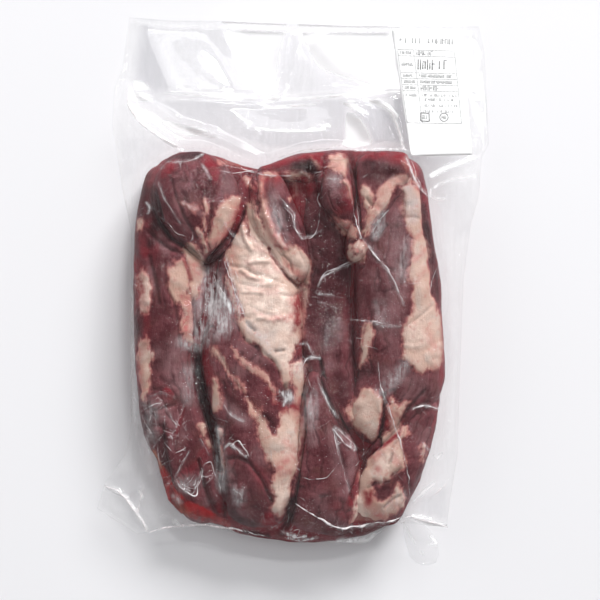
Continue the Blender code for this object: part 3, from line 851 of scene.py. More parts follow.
class Tree:
    """Short calls for the nodes of one shader tree."""

    def __init__(self, tree):
        self.tree = tree

    def node(self, kind, **settings):
        made = self.tree.nodes.new(kind)
        for key, value in settings.items():
            setattr(made, key, value)
        return made

    def link(self, source, target):
        self.tree.links.new(source, target)

    def feed(self, socket, value):
        """A socket takes another's output, or a plain value."""
        if isinstance(value, bpy.types.NodeSocket):
            self.link(value, socket)
        else:
            socket.default_value = value

    def attribute(self, name):
        return self.node("ShaderNodeAttribute", attribute_name=name).outputs["Fac"]

    def maths(self, operation, first, second=0.0, third=0.0, clamp=False):
        made = self.node("ShaderNodeMath", operation=operation, use_clamp=clamp)
        for socket, value in zip(made.inputs, (first, second, third)):
            self.feed(socket, value)
        return made.outputs[0]

    def times(self, first, second, clamp=False):
        return self.maths("MULTIPLY", first, second, clamp=clamp)

    def plus(self, first, second):
        return self.maths("ADD", first, second)

    def scaled(self, value, factor, start, clamp=False):
        """The value times the factor, on top of the start."""
        return self.maths("MULTIPLY_ADD", value, factor, start, clamp=clamp)

    def rest_of(self, value):
        """What the value leaves of one."""
        return self.maths("SUBTRACT", 1.0, value)

    def ramped(self, value, low, high, to_low=0.0, to_high=1.0):
        """A smooth ramp between two values, held level past them."""
        made = self.node("ShaderNodeMapRange", interpolation_type="SMOOTHSTEP")
        self.feed(made.inputs["Value"], value)
        made.inputs["From Min"].default_value = low
        made.inputs["From Max"].default_value = high
        made.inputs["To Min"].default_value = to_low
        made.inputs["To Max"].default_value = to_high
        return made.outputs["Result"]

    def noise(self, vector, scale, detail=3.0, roughness=0.55, distortion=0.0):
        made = self.node("ShaderNodeTexNoise")
        self.link(vector, made.inputs["Vector"])
        made.inputs["Scale"].default_value = scale
        made.inputs["Detail"].default_value = detail
        made.inputs["Roughness"].default_value = roughness
        made.inputs["Distortion"].default_value = distortion
        return made.outputs["Fac"]

    def cells(self, vector, scale):
        """Distance to the nearest edge of a net of cells."""
        made = self.node("ShaderNodeTexVoronoi", feature="DISTANCE_TO_EDGE")
        self.link(vector, made.inputs["Vector"])
        made.inputs["Scale"].default_value = scale
        return made.outputs["Distance"]

    def mixed(self, share, first, second):
        made = self.node("ShaderNodeMix", data_type="RGBA")
        self.feed(made.inputs["Factor"], share)
        colours = [s for s in made.inputs if s.type == "RGBA"]
        for socket, value in zip(colours, (first, second)):
            self.feed(socket, value if isinstance(value, bpy.types.NodeSocket) else (*value, 1.0))
        return next(s for s in made.outputs if s.type == "RGBA")

    def layered(self, colour, *layers):
        """The colour under further ones, each given as its share and itself."""
        for share, over in layers:
            colour = self.mixed(share, colour, over)
        return colour

    def place(self):
        return self.node("ShaderNodeTexCoord").outputs["Object"]

    def bumped(self, height, strength, distance):
        """A normal that follows the height."""
        made = self.node("ShaderNodeBump")
        made.inputs["Strength"].default_value = strength
        made.inputs["Distance"].default_value = distance
        self.link(height, made.inputs["Height"])
        return made.outputs["Normal"]

    def shader(self, kind, **inputs):
        """A shader with each named input set or linked."""
        made = self.node(kind)
        for name, value in inputs.items():
            socket = made.inputs[name.replace("_", " ")]
            if isinstance(value, tuple):
                value = (*value, 1.0)
            self.feed(socket, value)
        return made.outputs[0]

    def blended(self, share, first, second):
        """Two shaders, the second with the share."""
        made = self.node("ShaderNodeMixShader")
        for socket, value in zip(made.inputs, (share, first, second)):
            self.link(value, socket)
        return made.outputs[0]

    def surfaced(self, shader):
        self.link(shader, self.node("ShaderNodeOutputMaterial").inputs["Surface"])


def new_material(name):
    """A material with an empty tree, and short calls for it."""
    made = bpy.data.materials.new(name)
    made.use_nodes = True
    made.node_tree.nodes.clear()
    return made, Tree(made.node_tree)


MUSCLE_DEEP = (0.074, 0.0135, 0.018)
MUSCLE_LIGHT = (0.185, 0.056, 0.065)
# Near black, for dark juice and for painted shade in the creases
MUSCLE_DARK_AND_SHADE = (0.016, 0.004, 0.0055)
MUSCLE_BROWN = (0.125, 0.042, 0.038)
FRESH_RED = (0.20, 0.0085, 0.017)
# Grey of the silver skin, also used as painted sheen
SKIN_AND_SHEEN_GREY = (0.29, 0.165, 0.172)
EDGE_PINK = (0.30, 0.082, 0.082)
FAT_DULL = (0.50, 0.325, 0.265)
FAT_BRIGHT = (0.91, 0.735, 0.645)
FAT_PINK = (0.46, 0.125, 0.12)
# Orange-brown of the fat, partly painted shade in its folds
FAT_ORANGE_AND_FOLD_SHADE = (0.58, 0.345, 0.265)
FAT_GREY = (0.47, 0.40, 0.36)
VEILED_FAT_AND_SHEEN = (0.45, 0.375, 0.36)
JUICE_RED = (0.30, 0.012, 0.014)
JUICE_AMBER = (0.40, 0.15, 0.08)

beef, t = new_material("raw_beef")
place = t.place()
broad = t.noise(place, 42.0, 3.0, 0.55)
mottle = t.noise(place, 130.0, 4.0, 0.62)
ragged = t.noise(place, 420.0, 3.0, 0.6)
fine = t.noise(place, 1300.0, 2.0, 0.6)
bright = t.attribute("bright")
skin = t.attribute("skin")
grain = t.node("ShaderNodeCombineXYZ")
t.link(t.scaled(mottle, 2.0, t.times(t.attribute("grain_along"), 0.09)), grain.inputs[0])
t.link(t.scaled(broad, 5.0, t.times(t.attribute("grain_round"), 0.75)), grain.inputs[1])
fibre = t.noise(grain.outputs[0], 1.0, 3.0, 0.6, 0.6)
fat_edge = t.attribute("fat")
for pattern, reach in ((mottle, 4.0), (ragged, 4.0), (fine, 2.5), (fibre, 4.0)):
    fat_edge = t.plus(fat_edge, t.scaled(pattern, reach, -0.5 * reach))

# The muscle, with its silver skin, partly painted sheen, and fine threads, pink beside the fat
lightness = t.scaled(mottle, 0.55, t.scaled(fibre, 0.14, t.times(broad, 0.9)))
lightness = t.scaled(ragged, 0.4, t.scaled(fine, 0.3, lightness))
flesh = t.layered(
    t.mixed(t.ramped(lightness, 0.88, 1.42), MUSCLE_DEEP, MUSCLE_LIGHT),
    (t.ramped(t.noise(place, 62.0, 4.0, 0.6), 0.5, 0.7, 0.0, 0.55), MUSCLE_BROWN),
    (t.times(skin, t.ramped(t.scaled(fibre, 0.6, mottle), 0.5, 0.95, 0.3, 1.0)), SKIN_AND_SHEEN_GREY),
    (t.ramped(t.scaled(broad, 0.5, fibre), 0.86, 1.0, 0.0, 0.22), SKIN_AND_SHEEN_GREY),
    (t.ramped(fat_edge, -2.6, 0.3, 0.0, 0.7), EDGE_PINK),
)

# The fat, cleanest where it is bright, with painted shade in its folds, a grain, veiled parts and pink stains
clean = t.ramped(bright, 0.2, 0.9, 1.0, 0.45)
fold_shade_in_fat = t.scaled(t.attribute("fat_fold_shade"), 0.5, t.times(mottle, 0.7))
rim_pink = t.times(t.ramped(fat_edge, -0.4, 1.8, 0.7, 0.0), t.ramped(ragged, 0.4, 0.6, 0.3, 1.0))
# Pink stains, some of them painted shade along the folds
stain = t.times(t.attribute("pink"), t.ramped(t.scaled(ragged, 0.6, mottle), 0.65, 0.9, 0.3, 1.0))
fat_colour = t.layered(
    t.mixed(t.times(bright, t.ramped(mottle, 0.36, 0.56, 0.45, 1.0)), FAT_DULL, FAT_BRIGHT),
    (t.times(t.ramped(t.noise(place, 100.0, 4.0, 0.6), 0.5, 0.66, 0.0, 0.5), clean), FAT_GREY),
    (t.ramped(fold_shade_in_fat, 0.4, 0.85, 0.0, 0.45), FAT_ORANGE_AND_FOLD_SHADE),
    (t.ramped(t.scaled(fine, 0.5, ragged), 0.6, 0.9, 0.0, 0.22), FAT_DULL),
    # Veiled fat, partly painted sheen
    (t.times(skin, t.ramped(mottle, 0.35, 0.6, 0.5, 1.0)), VEILED_FAT_AND_SHEEN),
    (t.maths("MAXIMUM", rim_pink, stain), FAT_PINK),
    (t.times(t.ramped(t.noise(place, 230.0, 4.0, 0.68), 0.54, 0.68, 0.0, 0.42), clean), FAT_PINK),
)

# Juice over both: fresh on the meat, dark with painted shade in the creases, thin and amber where it has run
# together
wet = t.times(t.attribute("blood"), t.ramped(t.scaled(ragged, 0.5, mottle), 0.55, 0.85, 0.45, 1.0))
juice_colour = t.layered(
    t.mixed(bright, JUICE_RED, JUICE_AMBER),
    (t.ramped(mottle, 0.42, 0.6, 0.0, 0.6), MUSCLE_DEEP),
)
colour = t.layered(
    t.mixed(t.ramped(fat_edge, -1.4, 1.2), flesh, fat_colour),
    (wet, FRESH_RED),
    (t.times(t.attribute("dark"), t.ramped(mottle, 0.3, 0.6, 1.0, 0.75)), MUSCLE_DARK_AND_SHADE),
    (t.ramped(t.scaled(ragged, 0.6, t.attribute("juice")), 0.5, 1.0), juice_colour),
)
ground = t.scaled(fine, 0.35, t.times(ragged, 0.7))
t.surfaced(t.shader(
    "ShaderNodeBsdfPrincipled",
    Base_Color=colour,
    Roughness=t.ramped(mottle, 0.3, 0.7, 0.4, 0.6),
    Normal=t.bumped(t.scaled(fibre, 0.8, ground), 0.6, 0.0007),
    Specular_IOR_Level=0.12,
))

meat_points, meat_faces = [], []


def add_meat(name, points, faces, values):
    """A piece of meat, also kept for the film to lie on."""
    piece_from(name, (points, faces, values), beef, "vacuum_bag")
    start = sum(len(some) for some in meat_points)
    meat_faces.extend([tuple(start + k for k in face) for face in faces])
    meat_points.append(points)


for seed, (name, row) in enumerate(STRIPS.items()):
    points, faces, grain_along, grain_round = strip_shape(**row)
    points, values = dressed(points, faces, seed, grain_along, grain_round)
    add_meat(name, points, faces, values)

# The strips' flanks and ends are pressed into one block with juice between them, whose outline the bag
# follows. It shows in the creases and round the edge, darkened by juice and painted shade.
BLOCK_HEIGHT = 22.5
BLOCK_ROUNDING = 15.0
BLOCK_ROUNDNESS = 2.4
BLOCK_FLATNESS = 1.2
BLOCK_FOOT = 1.5
BLOCK_SEED = 20
BLOCK_BLOOD, BLOCK_DARK_AND_SHADE, BLOCK_LESS_FAT = 0.75, 0.25, 0.5
BLOCK_CELLS = (150, 196)
BLOCK_LEFT = [(143, 188), (137, 212), (134, 250), (133, 290), (133, 330), (135, 370), (139, 405), (147, 430),
              (153, 450), (160, 474), (168, 500)]
BLOCK_LOWER = [(168, 500), (180, 514), (200, 521), (220, 526), (238, 534), (258, 539), (288, 543), (315, 543),
               (345, 540), (366, 536), (384, 528), (396, 519), (405, 511)]
BLOCK_RIGHT = [(413, 164), (423, 184), (429, 212), (435, 250), (440, 294), (443, 330), (443, 370), (440, 402),
               (436, 425), (429, 453), (420, 482), (405, 511)]
BLOCK_UPPER = [(143, 188), (150, 172), (162, 160), (180, 152), (200, 151), (222, 157), (240, 164), (258, 169),
               (272, 163), (288, 156), (308, 152), (340, 150), (370, 150), (394, 152), (413, 164)]


def along_side(corners, count):
    """Evenly spaced points along one side of an outline."""
    corners = np.array(corners, float)
    run = lengths_along(corners)
    even = np.linspace(0.0, run[-1], count)
    return np.column_stack([np.interp(even, run, corners[:, 0]), np.interp(even, run, corners[:, 1])])


def filled_grid(sides, cells):
    """A grid of points that fills an outline, blended between its upper, right, lower and left sides."""
    upper, right, lower, left = sides
    columns, rows = cells[0] + 1, cells[1] + 1
    low, high = along_side(lower, columns), along_side(upper, columns)
    left, right = along_side(left, rows)[::-1], along_side(right, rows)[::-1]
    u = np.linspace(0.0, 1.0, columns)[None, :, None]
    v = np.linspace(0.0, 1.0, rows)[:, None, None]
    between_ends = (1 - v) * low[None] + v * high[None]
    between_sides = (1 - u) * left[:, None] + u * right[:, None]
    corners = (1 - u) * (1 - v) * low[0] + u * (1 - v) * low[-1] + (1 - u) * v * high[0] + u * v * high[-1]
    return between_ends + between_sides - corners


GRID_EDGES = (np.s_[0, :], np.s_[-1, :], np.s_[:, 0], np.s_[:, -1])


def quads(index):
    """Faces between the neighbours of a grid of point numbers."""
    corners = [index[:-1, :-1], index[:-1, 1:], index[1:, 1:], index[1:, :-1]]
    return np.stack(corners, axis=2).reshape(-1, 4).tolist()


def envelope(top, top_z, back, back_z):
    """One closed mesh of an upper face and a coarser lower one, which share the points of the edge."""
    rows, columns = top_z.shape
    top_points = np.column_stack([top[..., 0].ravel(), top[..., 1].ravel(), top_z.ravel()])
    top_index = np.arange(rows * columns).reshape(rows, columns)
    back_rows, back_columns = back_z.shape
    inner = np.ones(back_z.shape, bool)
    for edge in GRID_EDGES:
        inner[edge] = False
    back_index = top_index[::2, ::2].copy()
    back_index[inner] = rows * columns + np.arange(inner.sum())
    back_points = np.column_stack([back[..., 0][inner], back[..., 1][inner], back_z[inner]])
    faces = quads(top_index)
    for j in range(back_rows - 1):
        for i in range(back_columns - 1):
            loop = [back_index[j, i]]
            if j == 0:
                loop.append(top_index[0, 2 * i + 1])
            loop.append(back_index[j, i + 1])
            if i == back_columns - 2:
                loop.append(top_index[2 * j + 1, -1])
            loop.append(back_index[j + 1, i + 1])
            if j == back_rows - 2:
                loop.append(top_index[-1, 2 * i + 1])
            loop.append(back_index[j + 1, i])
            if i == 0:
                loop.append(top_index[2 * j + 1, 0])
            faces.append([int(k) for k in reversed(loop)])
    return np.vstack([top_points, back_points]), faces, inner


block_sides = (BLOCK_UPPER, BLOCK_RIGHT, BLOCK_LOWER, BLOCK_LEFT)
block_grid = filled_grid([placed(side) for side in block_sides], BLOCK_CELLS)
block_outline = [*BLOCK_UPPER, *BLOCK_RIGHT[1:], *BLOCK_LOWER[-2::-1], *BLOCK_LEFT[-2:0:-1]]
depth = area_depth(block_grid[..., 0].ravel(), block_grid[..., 1].ravel(), block_outline, BLOCK_ROUNDING)
inset = 1.0 - np.clip(depth, 0.0, BLOCK_ROUNDING).reshape(block_grid.shape[:2]) / BLOCK_ROUNDING
closing = (1.0 - inset**BLOCK_ROUNDNESS) ** (1 / BLOCK_ROUNDNESS)
block_top = WAIST + (BLOCK_HEIGHT - WAIST) * closing
block_back = WAIST - (WAIST - BLOCK_FOOT) * np.minimum(1.0, BLOCK_FLATNESS * closing)
points, faces, _ = envelope(block_grid, block_top, block_grid[::2, ::2], block_back[::2, ::2])
points, values = dressed(points, faces, BLOCK_SEED, points[:, 1], points[:, 0])
values["blood"] = np.maximum(values["blood"], BLOCK_BLOOD)
# Painted shade and dark juice darken the whole block, which shows in the creases
values["dark"] = np.maximum(values["dark"], BLOCK_DARK_AND_SHADE)
values["fat"] = values["fat"] - BLOCK_LESS_FAT
add_meat("pressed_block", points, faces, values)

# The bag is clear nylon film, two plies of a tenth of a millimetre sealed at the sides. The pump has drawn
# it onto the meat, where it spans the grooves, and past the meat the two plies lie together as a margin.
SEAM_HEIGHT = 14.0
MOUTH_HEIGHT = 4.5
MOUTH_REACH = 88.0
WAVE_HEIGHT = 1.9
LOWEST_FILM = 1.6
BUCKLE_LENGTHS = (19.0, 31.0, 15.0)
BUCKLE_TWIST, SLANTED_SHARE, SLANT = 0.9, 0.6, 1.3
CALM_REACH = 45.0
FILM_CLEARANCE = 0.35
SPAN_WINDOW = 12
RAY_START = 100.0
MEAT_CENTRE = (-3.0, -36.0)
MEAT_HALF_SIZE = (102.0, 128.0)
PLY_GAP = 0.22
DEEPEST_DIP = 0.15
GROOVE_SPAN = 5.5
EDGE_SPAN = 2.2
TOP_CELLS = (222, 312)
MOUTH_SIDE = [(-109, 182.8), (-81, 180.5), (-50, 180.5), (-2, 178.5), (44, 177), (124, 177)]
RIGHT_SIDE = [(124, 177), (127.5, 160), (130, 98), (125, 88), (123, 62), (118, 45), (113, 8), (110, -72),
              (109, -109), (104, -138), (102, -156)]
LOWER_SIDE = [(-130, -144), (-103, -161), (-96, -159), (-79, -156), (-53, -156), (-35, -161), (5, -166),
              (49, -167), (65, -153), (102, -156)]
LEFT_SIDE = [(-109, 182.8), (-114, 148), (-119, 135), (-120, 109), (-117, 93), (-113, 67), (-107.5, 41),
             (-107.5, -93), (-112, -109), (-125, -127), (-130, -144)]


def film_height(x, y):
    """Middle of the film margin: level at the meat, hanging down towards the mouth, with soft buckles."""
    past_side = np.maximum(np.abs(x - MEAT_CENTRE[0]) - MEAT_HALF_SIZE[0], 0.0)
    past_end = np.maximum(np.abs(y - MEAT_CENTRE[1]) - MEAT_HALF_SIZE[1], 0.0)
    reach = np.hypot(past_side, past_end)
    sag = (SEAM_HEIGHT - MOUTH_HEIGHT) * smooth_step(reach / MOUTH_REACH)
    along, across, slanted = BUCKLE_LENGTHS
    buckle = np.sin(x / along + BUCKLE_TWIST * np.sin(y / across))
    buckle = buckle + SLANTED_SHARE * np.sin((x + SLANT * y) / slanted)
    height = SEAM_HEIGHT - sag + WAVE_HEIGHT * buckle * smooth_step(reach / CALM_REACH)
    return np.maximum(height, LOWEST_FILM)


def spanned(height, spacing, span):
    """The height with its hollows bridged by a curve of that radius, as taut film bridges them."""
    for widen in (True, False):
        for axis in (0, 1):
            found = height.copy()
            for shift in range(1, SPAN_WINDOW + 1):
                drop = (shift * spacing) ** 2 / (2 * span)
                for way in (shift, -shift):
                    moved = np.roll(height, way, axis)
                    edge = [slice(None), slice(None)]
                    edge[axis] = slice(0, way) if way > 0 else slice(way, None)
                    moved[tuple(edge)] = -np.inf if widen else np.inf
                    found = np.maximum(found, moved - drop) if widen else np.minimum(found, moved + drop)
            height = found
    return height


def blurred(height, times):
    """The height evened out both ways over its grid."""
    for _ in range(times):
        for axis in (0, 1):
            steps = np.arange(height.shape[axis])
            before = height.take(np.maximum(steps - 1, 0), axis)
            after = height.take(np.minimum(steps + 1, steps[-1]), axis)
            height = 0.5 * height + 0.25 * (before + after)
    return height


meat_tree = BVHTree.FromPolygons([tuple(p) for p in np.vstack(meat_points).tolist()], meat_faces)


def meat_heights(grid, from_above):
    """Height of the meat over each point of the grid, and whether there is any."""
    way = -1.0 if from_above else 1.0
    found = np.full(grid.shape[:2], np.nan)
    for j, row in enumerate(grid.tolist()):
        for i, (x, y) in enumerate(row):
            hit = meat_tree.ray_cast((x, y, -way * RAY_START), (0.0, 0.0, way))[0]
            if hit is not None:
                found[j, i] = hit.z
    return found


def film_ply(grid, from_above):
    """Heights of one ply over the grid."""
    flip = 1.0 if from_above else -1.0
    spacing = (grid[0, -1, 0] - grid[0, 0, 0]) / (grid.shape[1] - 1)
    margin = flip * film_height(grid[..., 0], grid[..., 1]) + PLY_GAP
    meat = flip * meat_heights(grid, from_above)
    bare = np.isnan(meat)
    raised = np.where(bare, margin, np.maximum(meat + FILM_CLEARANCE, margin))
    widened = raised.copy()
    for axis in (0, 1):
        for way in (1, -1):
            widened = np.maximum(widened, np.roll(raised, way, axis))
    over_meat = np.where(bare, widened, np.maximum(spanned(raised, spacing, GROOVE_SPAN), widened))
    taut = spanned(over_meat, spacing, EDGE_SPAN)
    taut = np.maximum(blurred(taut, 1), widened - DEEPEST_DIP)
    outer = flip * film_height(grid[..., 0], grid[..., 1])
    for edge in GRID_EDGES:
        taut[edge] = outer[edge]
    return flip * taut, np.where(bare, 0.0, taut - meat)


HAZE_IN_MARGIN = 0.05
HAZE_ON_MEAT = 0.006

# Milky places in the film, and painted sheen and highlights: rows and how strong
HAZE_AND_SHEEN_STROKES = [
    ([(287, 393, 2.6), (291, 398, 2.6)], 0.5),
    ([(212, 284, 8), (214, 302, 12), (220, 322, 10)], 0.42),
    ([(213, 279, 2.2), (221, 292, 2.8), (232, 311, 2)], 0.7),
    ([(203, 316, 6), (201, 338, 6)], 0.26),
    ([(183, 342, 3.5), (199, 346, 4)], 0.25),
    ([(146, 438, 2.4), (147, 454, 3), (150, 470, 3)], 0.2),
    ([(186, 484, 6), (194, 482, 5)], 0.16),
    ([(219, 430, 3), (221, 460, 3.5), (222, 488, 3)], 0.2),
    ([(187, 517, 3), (207, 523, 4), (244, 528, 3.5)], 0.08),
    ([(239, 489, 4), (240, 498, 4)], 0.25),
    ([(276, 214, 5), (281, 238, 4)], 0.16),
    ([(404, 364, 4), (393, 378, 5), (381, 391, 4)], 0.2),
    ([(381, 216, 3), (377, 226, 5), (374, 235, 3)], 0.25),
    ([(310, 392, 4), (311, 410, 4.5), (308, 424, 4)], 0.22),
    ([(338, 527, 1.0), (365, 526, 1.2), (392, 521, 1.2)], 0.3),
    ([(336, 542, 1.6), (362, 542, 3), (380, 537, 3.4), (397, 526, 2.4)], 0.6),
    ([(130, 300, 3), (131, 360, 3.5), (136, 420, 3)], 0.22),
    ([(190, 372, 6), (190, 398, 5)], 0.12),
    ([(150, 420, 5), (152, 436, 5)], 0.1),
    ([(139, 396, 3), (148, 404, 5), (154, 413, 6)], 0.12),
    ([(404, 250, 5), (400, 275, 5)], 0.14),
    ([(378, 305, 4), (382, 322, 4)], 0.12),
    ([(330, 320, 7), (326, 345, 7)], 0.06),
    ([(336, 180, 5)], 0.12),
    ([(301, 368, 5)], 0.14),
    ([(128, 472, 10), (124, 500, 12), (150, 515, 5)], 0.14),
    ([(248, 326, 4), (277, 350, 4)], 0.16),
    ([(388, 506, 6), (400, 494, 4)], 0.14),
    ([(175, 496, 1.6), (180, 501, 1.8)], 0.4),
]

# White glints where a fold or a crinkle of the film turns to the light: rows and how strong
GLINT_STROKES = [
    ([(141, 408, 0.5), (147, 424, 0.8), (156, 438, 0.5)], 0.3),
    ([(150, 396, 0.5), (163, 392, 0.7), (176, 397, 0.5)], 0.25),
    ([(190, 450, 0.5), (182, 464, 0.7), (175, 478, 0.5)], 0.3),
    ([(178, 478, 0.6), (190, 487, 0.9), (199, 489, 0.6)], 0.3),
    ([(200, 438, 0.5), (206, 447, 0.7), (210, 455, 0.5)], 0.25),
    ([(163, 402, 0.5), (171, 414, 0.7), (178, 428, 0.5)], 0.22),
    ([(147, 203, 0.8), (151, 208, 1.6), (149, 214, 0.8)], 0.5),
    ([(203, 166, 0.6), (207, 172, 1.4), (212, 181, 0.6)], 0.5),
    ([(213, 274, 0.8), (220, 287, 1.8), (229, 302, 0.8)], 0.65),
    ([(226, 256, 0.6), (232, 276, 0.8), (241, 315, 0.6)], 0.55),
    ([(229, 262, 0.6), (236, 286, 0.8), (247, 322, 0.6)], 0.5),
    ([(224, 404, 0.9), (231, 413, 1.6), (244, 420, 0.9)], 0.55),
    ([(280, 390, 1.0), (287, 397, 2.0), (284, 404, 1.2)], 0.7),
    ([(333, 428, 0.6), (343, 440, 0.7), (355, 449, 0.9)], 0.7),
    ([(335, 426, 0.6), (347, 436, 0.7), (356, 448, 0.9)], 0.6),
    ([(335, 435, 0.5), (342, 464, 0.7), (349, 490, 0.6)], 0.35),
    ([(317, 375, 0.5), (322, 390, 0.8), (330, 406, 0.8), (337, 416, 0.5)], 0.5),
    ([(299, 344, 0.6), (306, 343, 0.8), (311, 350, 0.8), (314, 355, 0.6)], 0.5),
    ([(286, 533, 1.2), (296, 537, 2.2), (305, 536, 1.4)], 0.9),
    ([(288, 538, 0.8), (302, 541, 1.0), (318, 537, 0.8)], 0.7),
    ([(302, 362, 0.8), (310, 357, 1.4), (320, 358, 0.8)], 0.65),
    ([(318, 294, 0.7), (330, 295, 1.0), (343, 298, 0.7)], 0.5),
    ([(318, 302, 0.5), (330, 304, 0.6)], 0.4),
    ([(318, 286, 0.6), (324, 276, 0.9), (338, 269, 0.9), (357, 262, 0.7)], 0.5),
    ([(371, 234, 0.8), (378, 222, 1.8), (387, 212, 0.8)], 0.6),
    ([(223, 449, 0.7), (230, 442, 1.0), (240, 450, 1.2), (246, 455, 0.8)], 0.65),
    ([(234, 488, 1.2), (241, 492, 2.0), (244, 499, 1.2)], 0.4),
    ([(175, 480, 0.7), (184, 489, 1.2), (192, 494, 0.9), (197, 484, 0.9), (202, 470, 0.7)], 0.6),
    ([(173, 521, 1.2), (178, 526, 1.4)], 0.6),
    ([(168, 163, 0.7), (180, 163, 0.8), (194, 161, 0.8), (203, 155, 0.7)], 0.45),
    ([(160, 184, 0.5), (165, 198, 0.7), (175, 214, 0.6), (186, 232, 0.6)], 0.35),
    ([(226, 224, 0.8), (232, 234, 1.0), (240, 240, 0.9)], 0.45),
    ([(279, 198, 0.5), (294, 214, 0.7), (295, 228, 0.7), (302, 239, 0.8), (312, 236, 0.8),
      (321, 231, 0.6)], 0.5),
    ([(405, 158, 0.6), (410, 170, 0.9), (417, 186, 0.9), (428, 196, 0.8), (446, 199, 0.6)], 0.65),
    ([(356, 199, 0.5), (359, 235, 0.7), (369, 247, 0.7), (381, 264, 0.7), (392, 280, 0.7),
      (402, 304, 0.5)], 0.45),
    ([(351, 319, 0.5), (371, 322, 0.7), (384, 326, 0.7), (400, 326, 0.5)], 0.45),
    ([(377, 362, 0.5), (379, 382, 0.6), (384, 400, 0.7), (395, 429, 0.5)], 0.35),
    ([(411, 408, 0.7), (422, 404, 1.2), (439, 409, 0.8)], 0.55),
    ([(185, 402, 0.5), (177, 425, 0.5)], 0.2),
    ([(142, 405, 0.6), (150, 405, 0.8), (158, 403, 0.6)], 0.4),
    ([(139, 412, 0.5), (137, 430, 0.5)], 0.3),
    ([(124, 496, 0.7), (135, 511, 1.1), (147, 531, 0.8)], 0.8),
    ([(138, 491, 0.7), (142, 498, 1.0)], 0.7),
    ([(105, 488, 0.8), (118, 494, 1.2), (128, 498, 1.0)], 0.8),
    ([(412, 517, 1.2), (422, 521, 2.2), (434, 525, 2.8), (447, 528, 1.6)], 0.95),
    ([(414, 501, 0.8), (424, 493, 1.5), (435, 484, 1.2)], 0.85),
    ([(434, 456, 0.7), (438, 459, 1.0), (442, 454, 0.7)], 0.9),
    ([(422, 442, 0.7), (429, 450, 0.8)], 0.5),
    ([(128, 104, 1.0), (136, 117, 1.2), (150, 129, 1.4), (167, 141, 1.4), (183, 150, 1.1)], 0.95),
    ([(134, 107, 2.0), (146, 114, 3.4), (157, 119, 2.0)], 0.85),
    ([(164, 122, 2.0), (176, 128, 4.0), (190, 131, 4.0), (205, 131, 1.4)], 0.8),
    ([(132, 94, 3.4), (142, 97, 2.6), (150, 99, 1.2)], 0.8),
    ([(137, 92, 1.0), (150, 94, 0.8)], 0.6),
    ([(345, 103, 1.0), (353, 106, 2.2), (363, 111, 1.8)], 0.95),
    ([(364, 99, 0.8), (376, 101, 2.2), (388, 106, 2.6), (397, 116, 1.4)], 0.95),
    ([(390, 108, 1.2), (396, 120, 1.2), (401, 136, 1.0), (404, 150, 0.8)], 0.95),
    ([(285, 98, 0.6), (320, 96, 0.9), (360, 93, 0.9), (398, 90, 1.0)], 0.85),
    ([(262, 107, 0.6), (290, 105, 0.9), (316, 103, 0.7)], 0.8),
    ([(165, 92, 0.5), (200, 95, 0.6), (240, 98, 0.6)], 0.5),
    ([(356, 150, 0.7), (380, 149, 1.0), (413, 150, 0.8)], 0.85),
    ([(432, 175, 2.4), (440, 170, 1.8), (455, 164, 1.4), (476, 158, 1.0)], 0.95),
    ([(430, 199, 0.7), (431, 190, 0.9), (440, 183, 1.0), (456, 178, 0.9), (476, 175, 0.8)], 0.85),
    ([(262, 96, 1.6), (270, 98, 3.0), (278, 96, 1.4)], 0.9),
    ([(330, 147, 0.6), (346, 145, 0.8), (358, 148, 0.7)], 0.6),
    ([(190, 132, 0.7), (215, 137, 0.6)], 0.6),
]

# Broad sheets of glare in the loose film of the mouth, each an outline
GLARE_AREAS = [
    [(221, 17), (285, 17), (286, 28), (282, 40), (279, 55), (276, 72), (275, 90), (264, 94), (254, 90),
     (248, 76), (240, 58), (231, 38)],
    [(297, 17), (402, 17), (402, 88), (378, 88), (366, 82), (352, 78), (336, 73), (320, 66), (311, 52),
     (303, 34)],
    [(347, 112), (353, 113), (360, 118), (366, 127), (371, 138), (375, 149), (352, 148), (341, 146),
     (346, 136), (346, 124)],
    [(132, 78), (142, 80), (150, 88), (134, 88)],
]

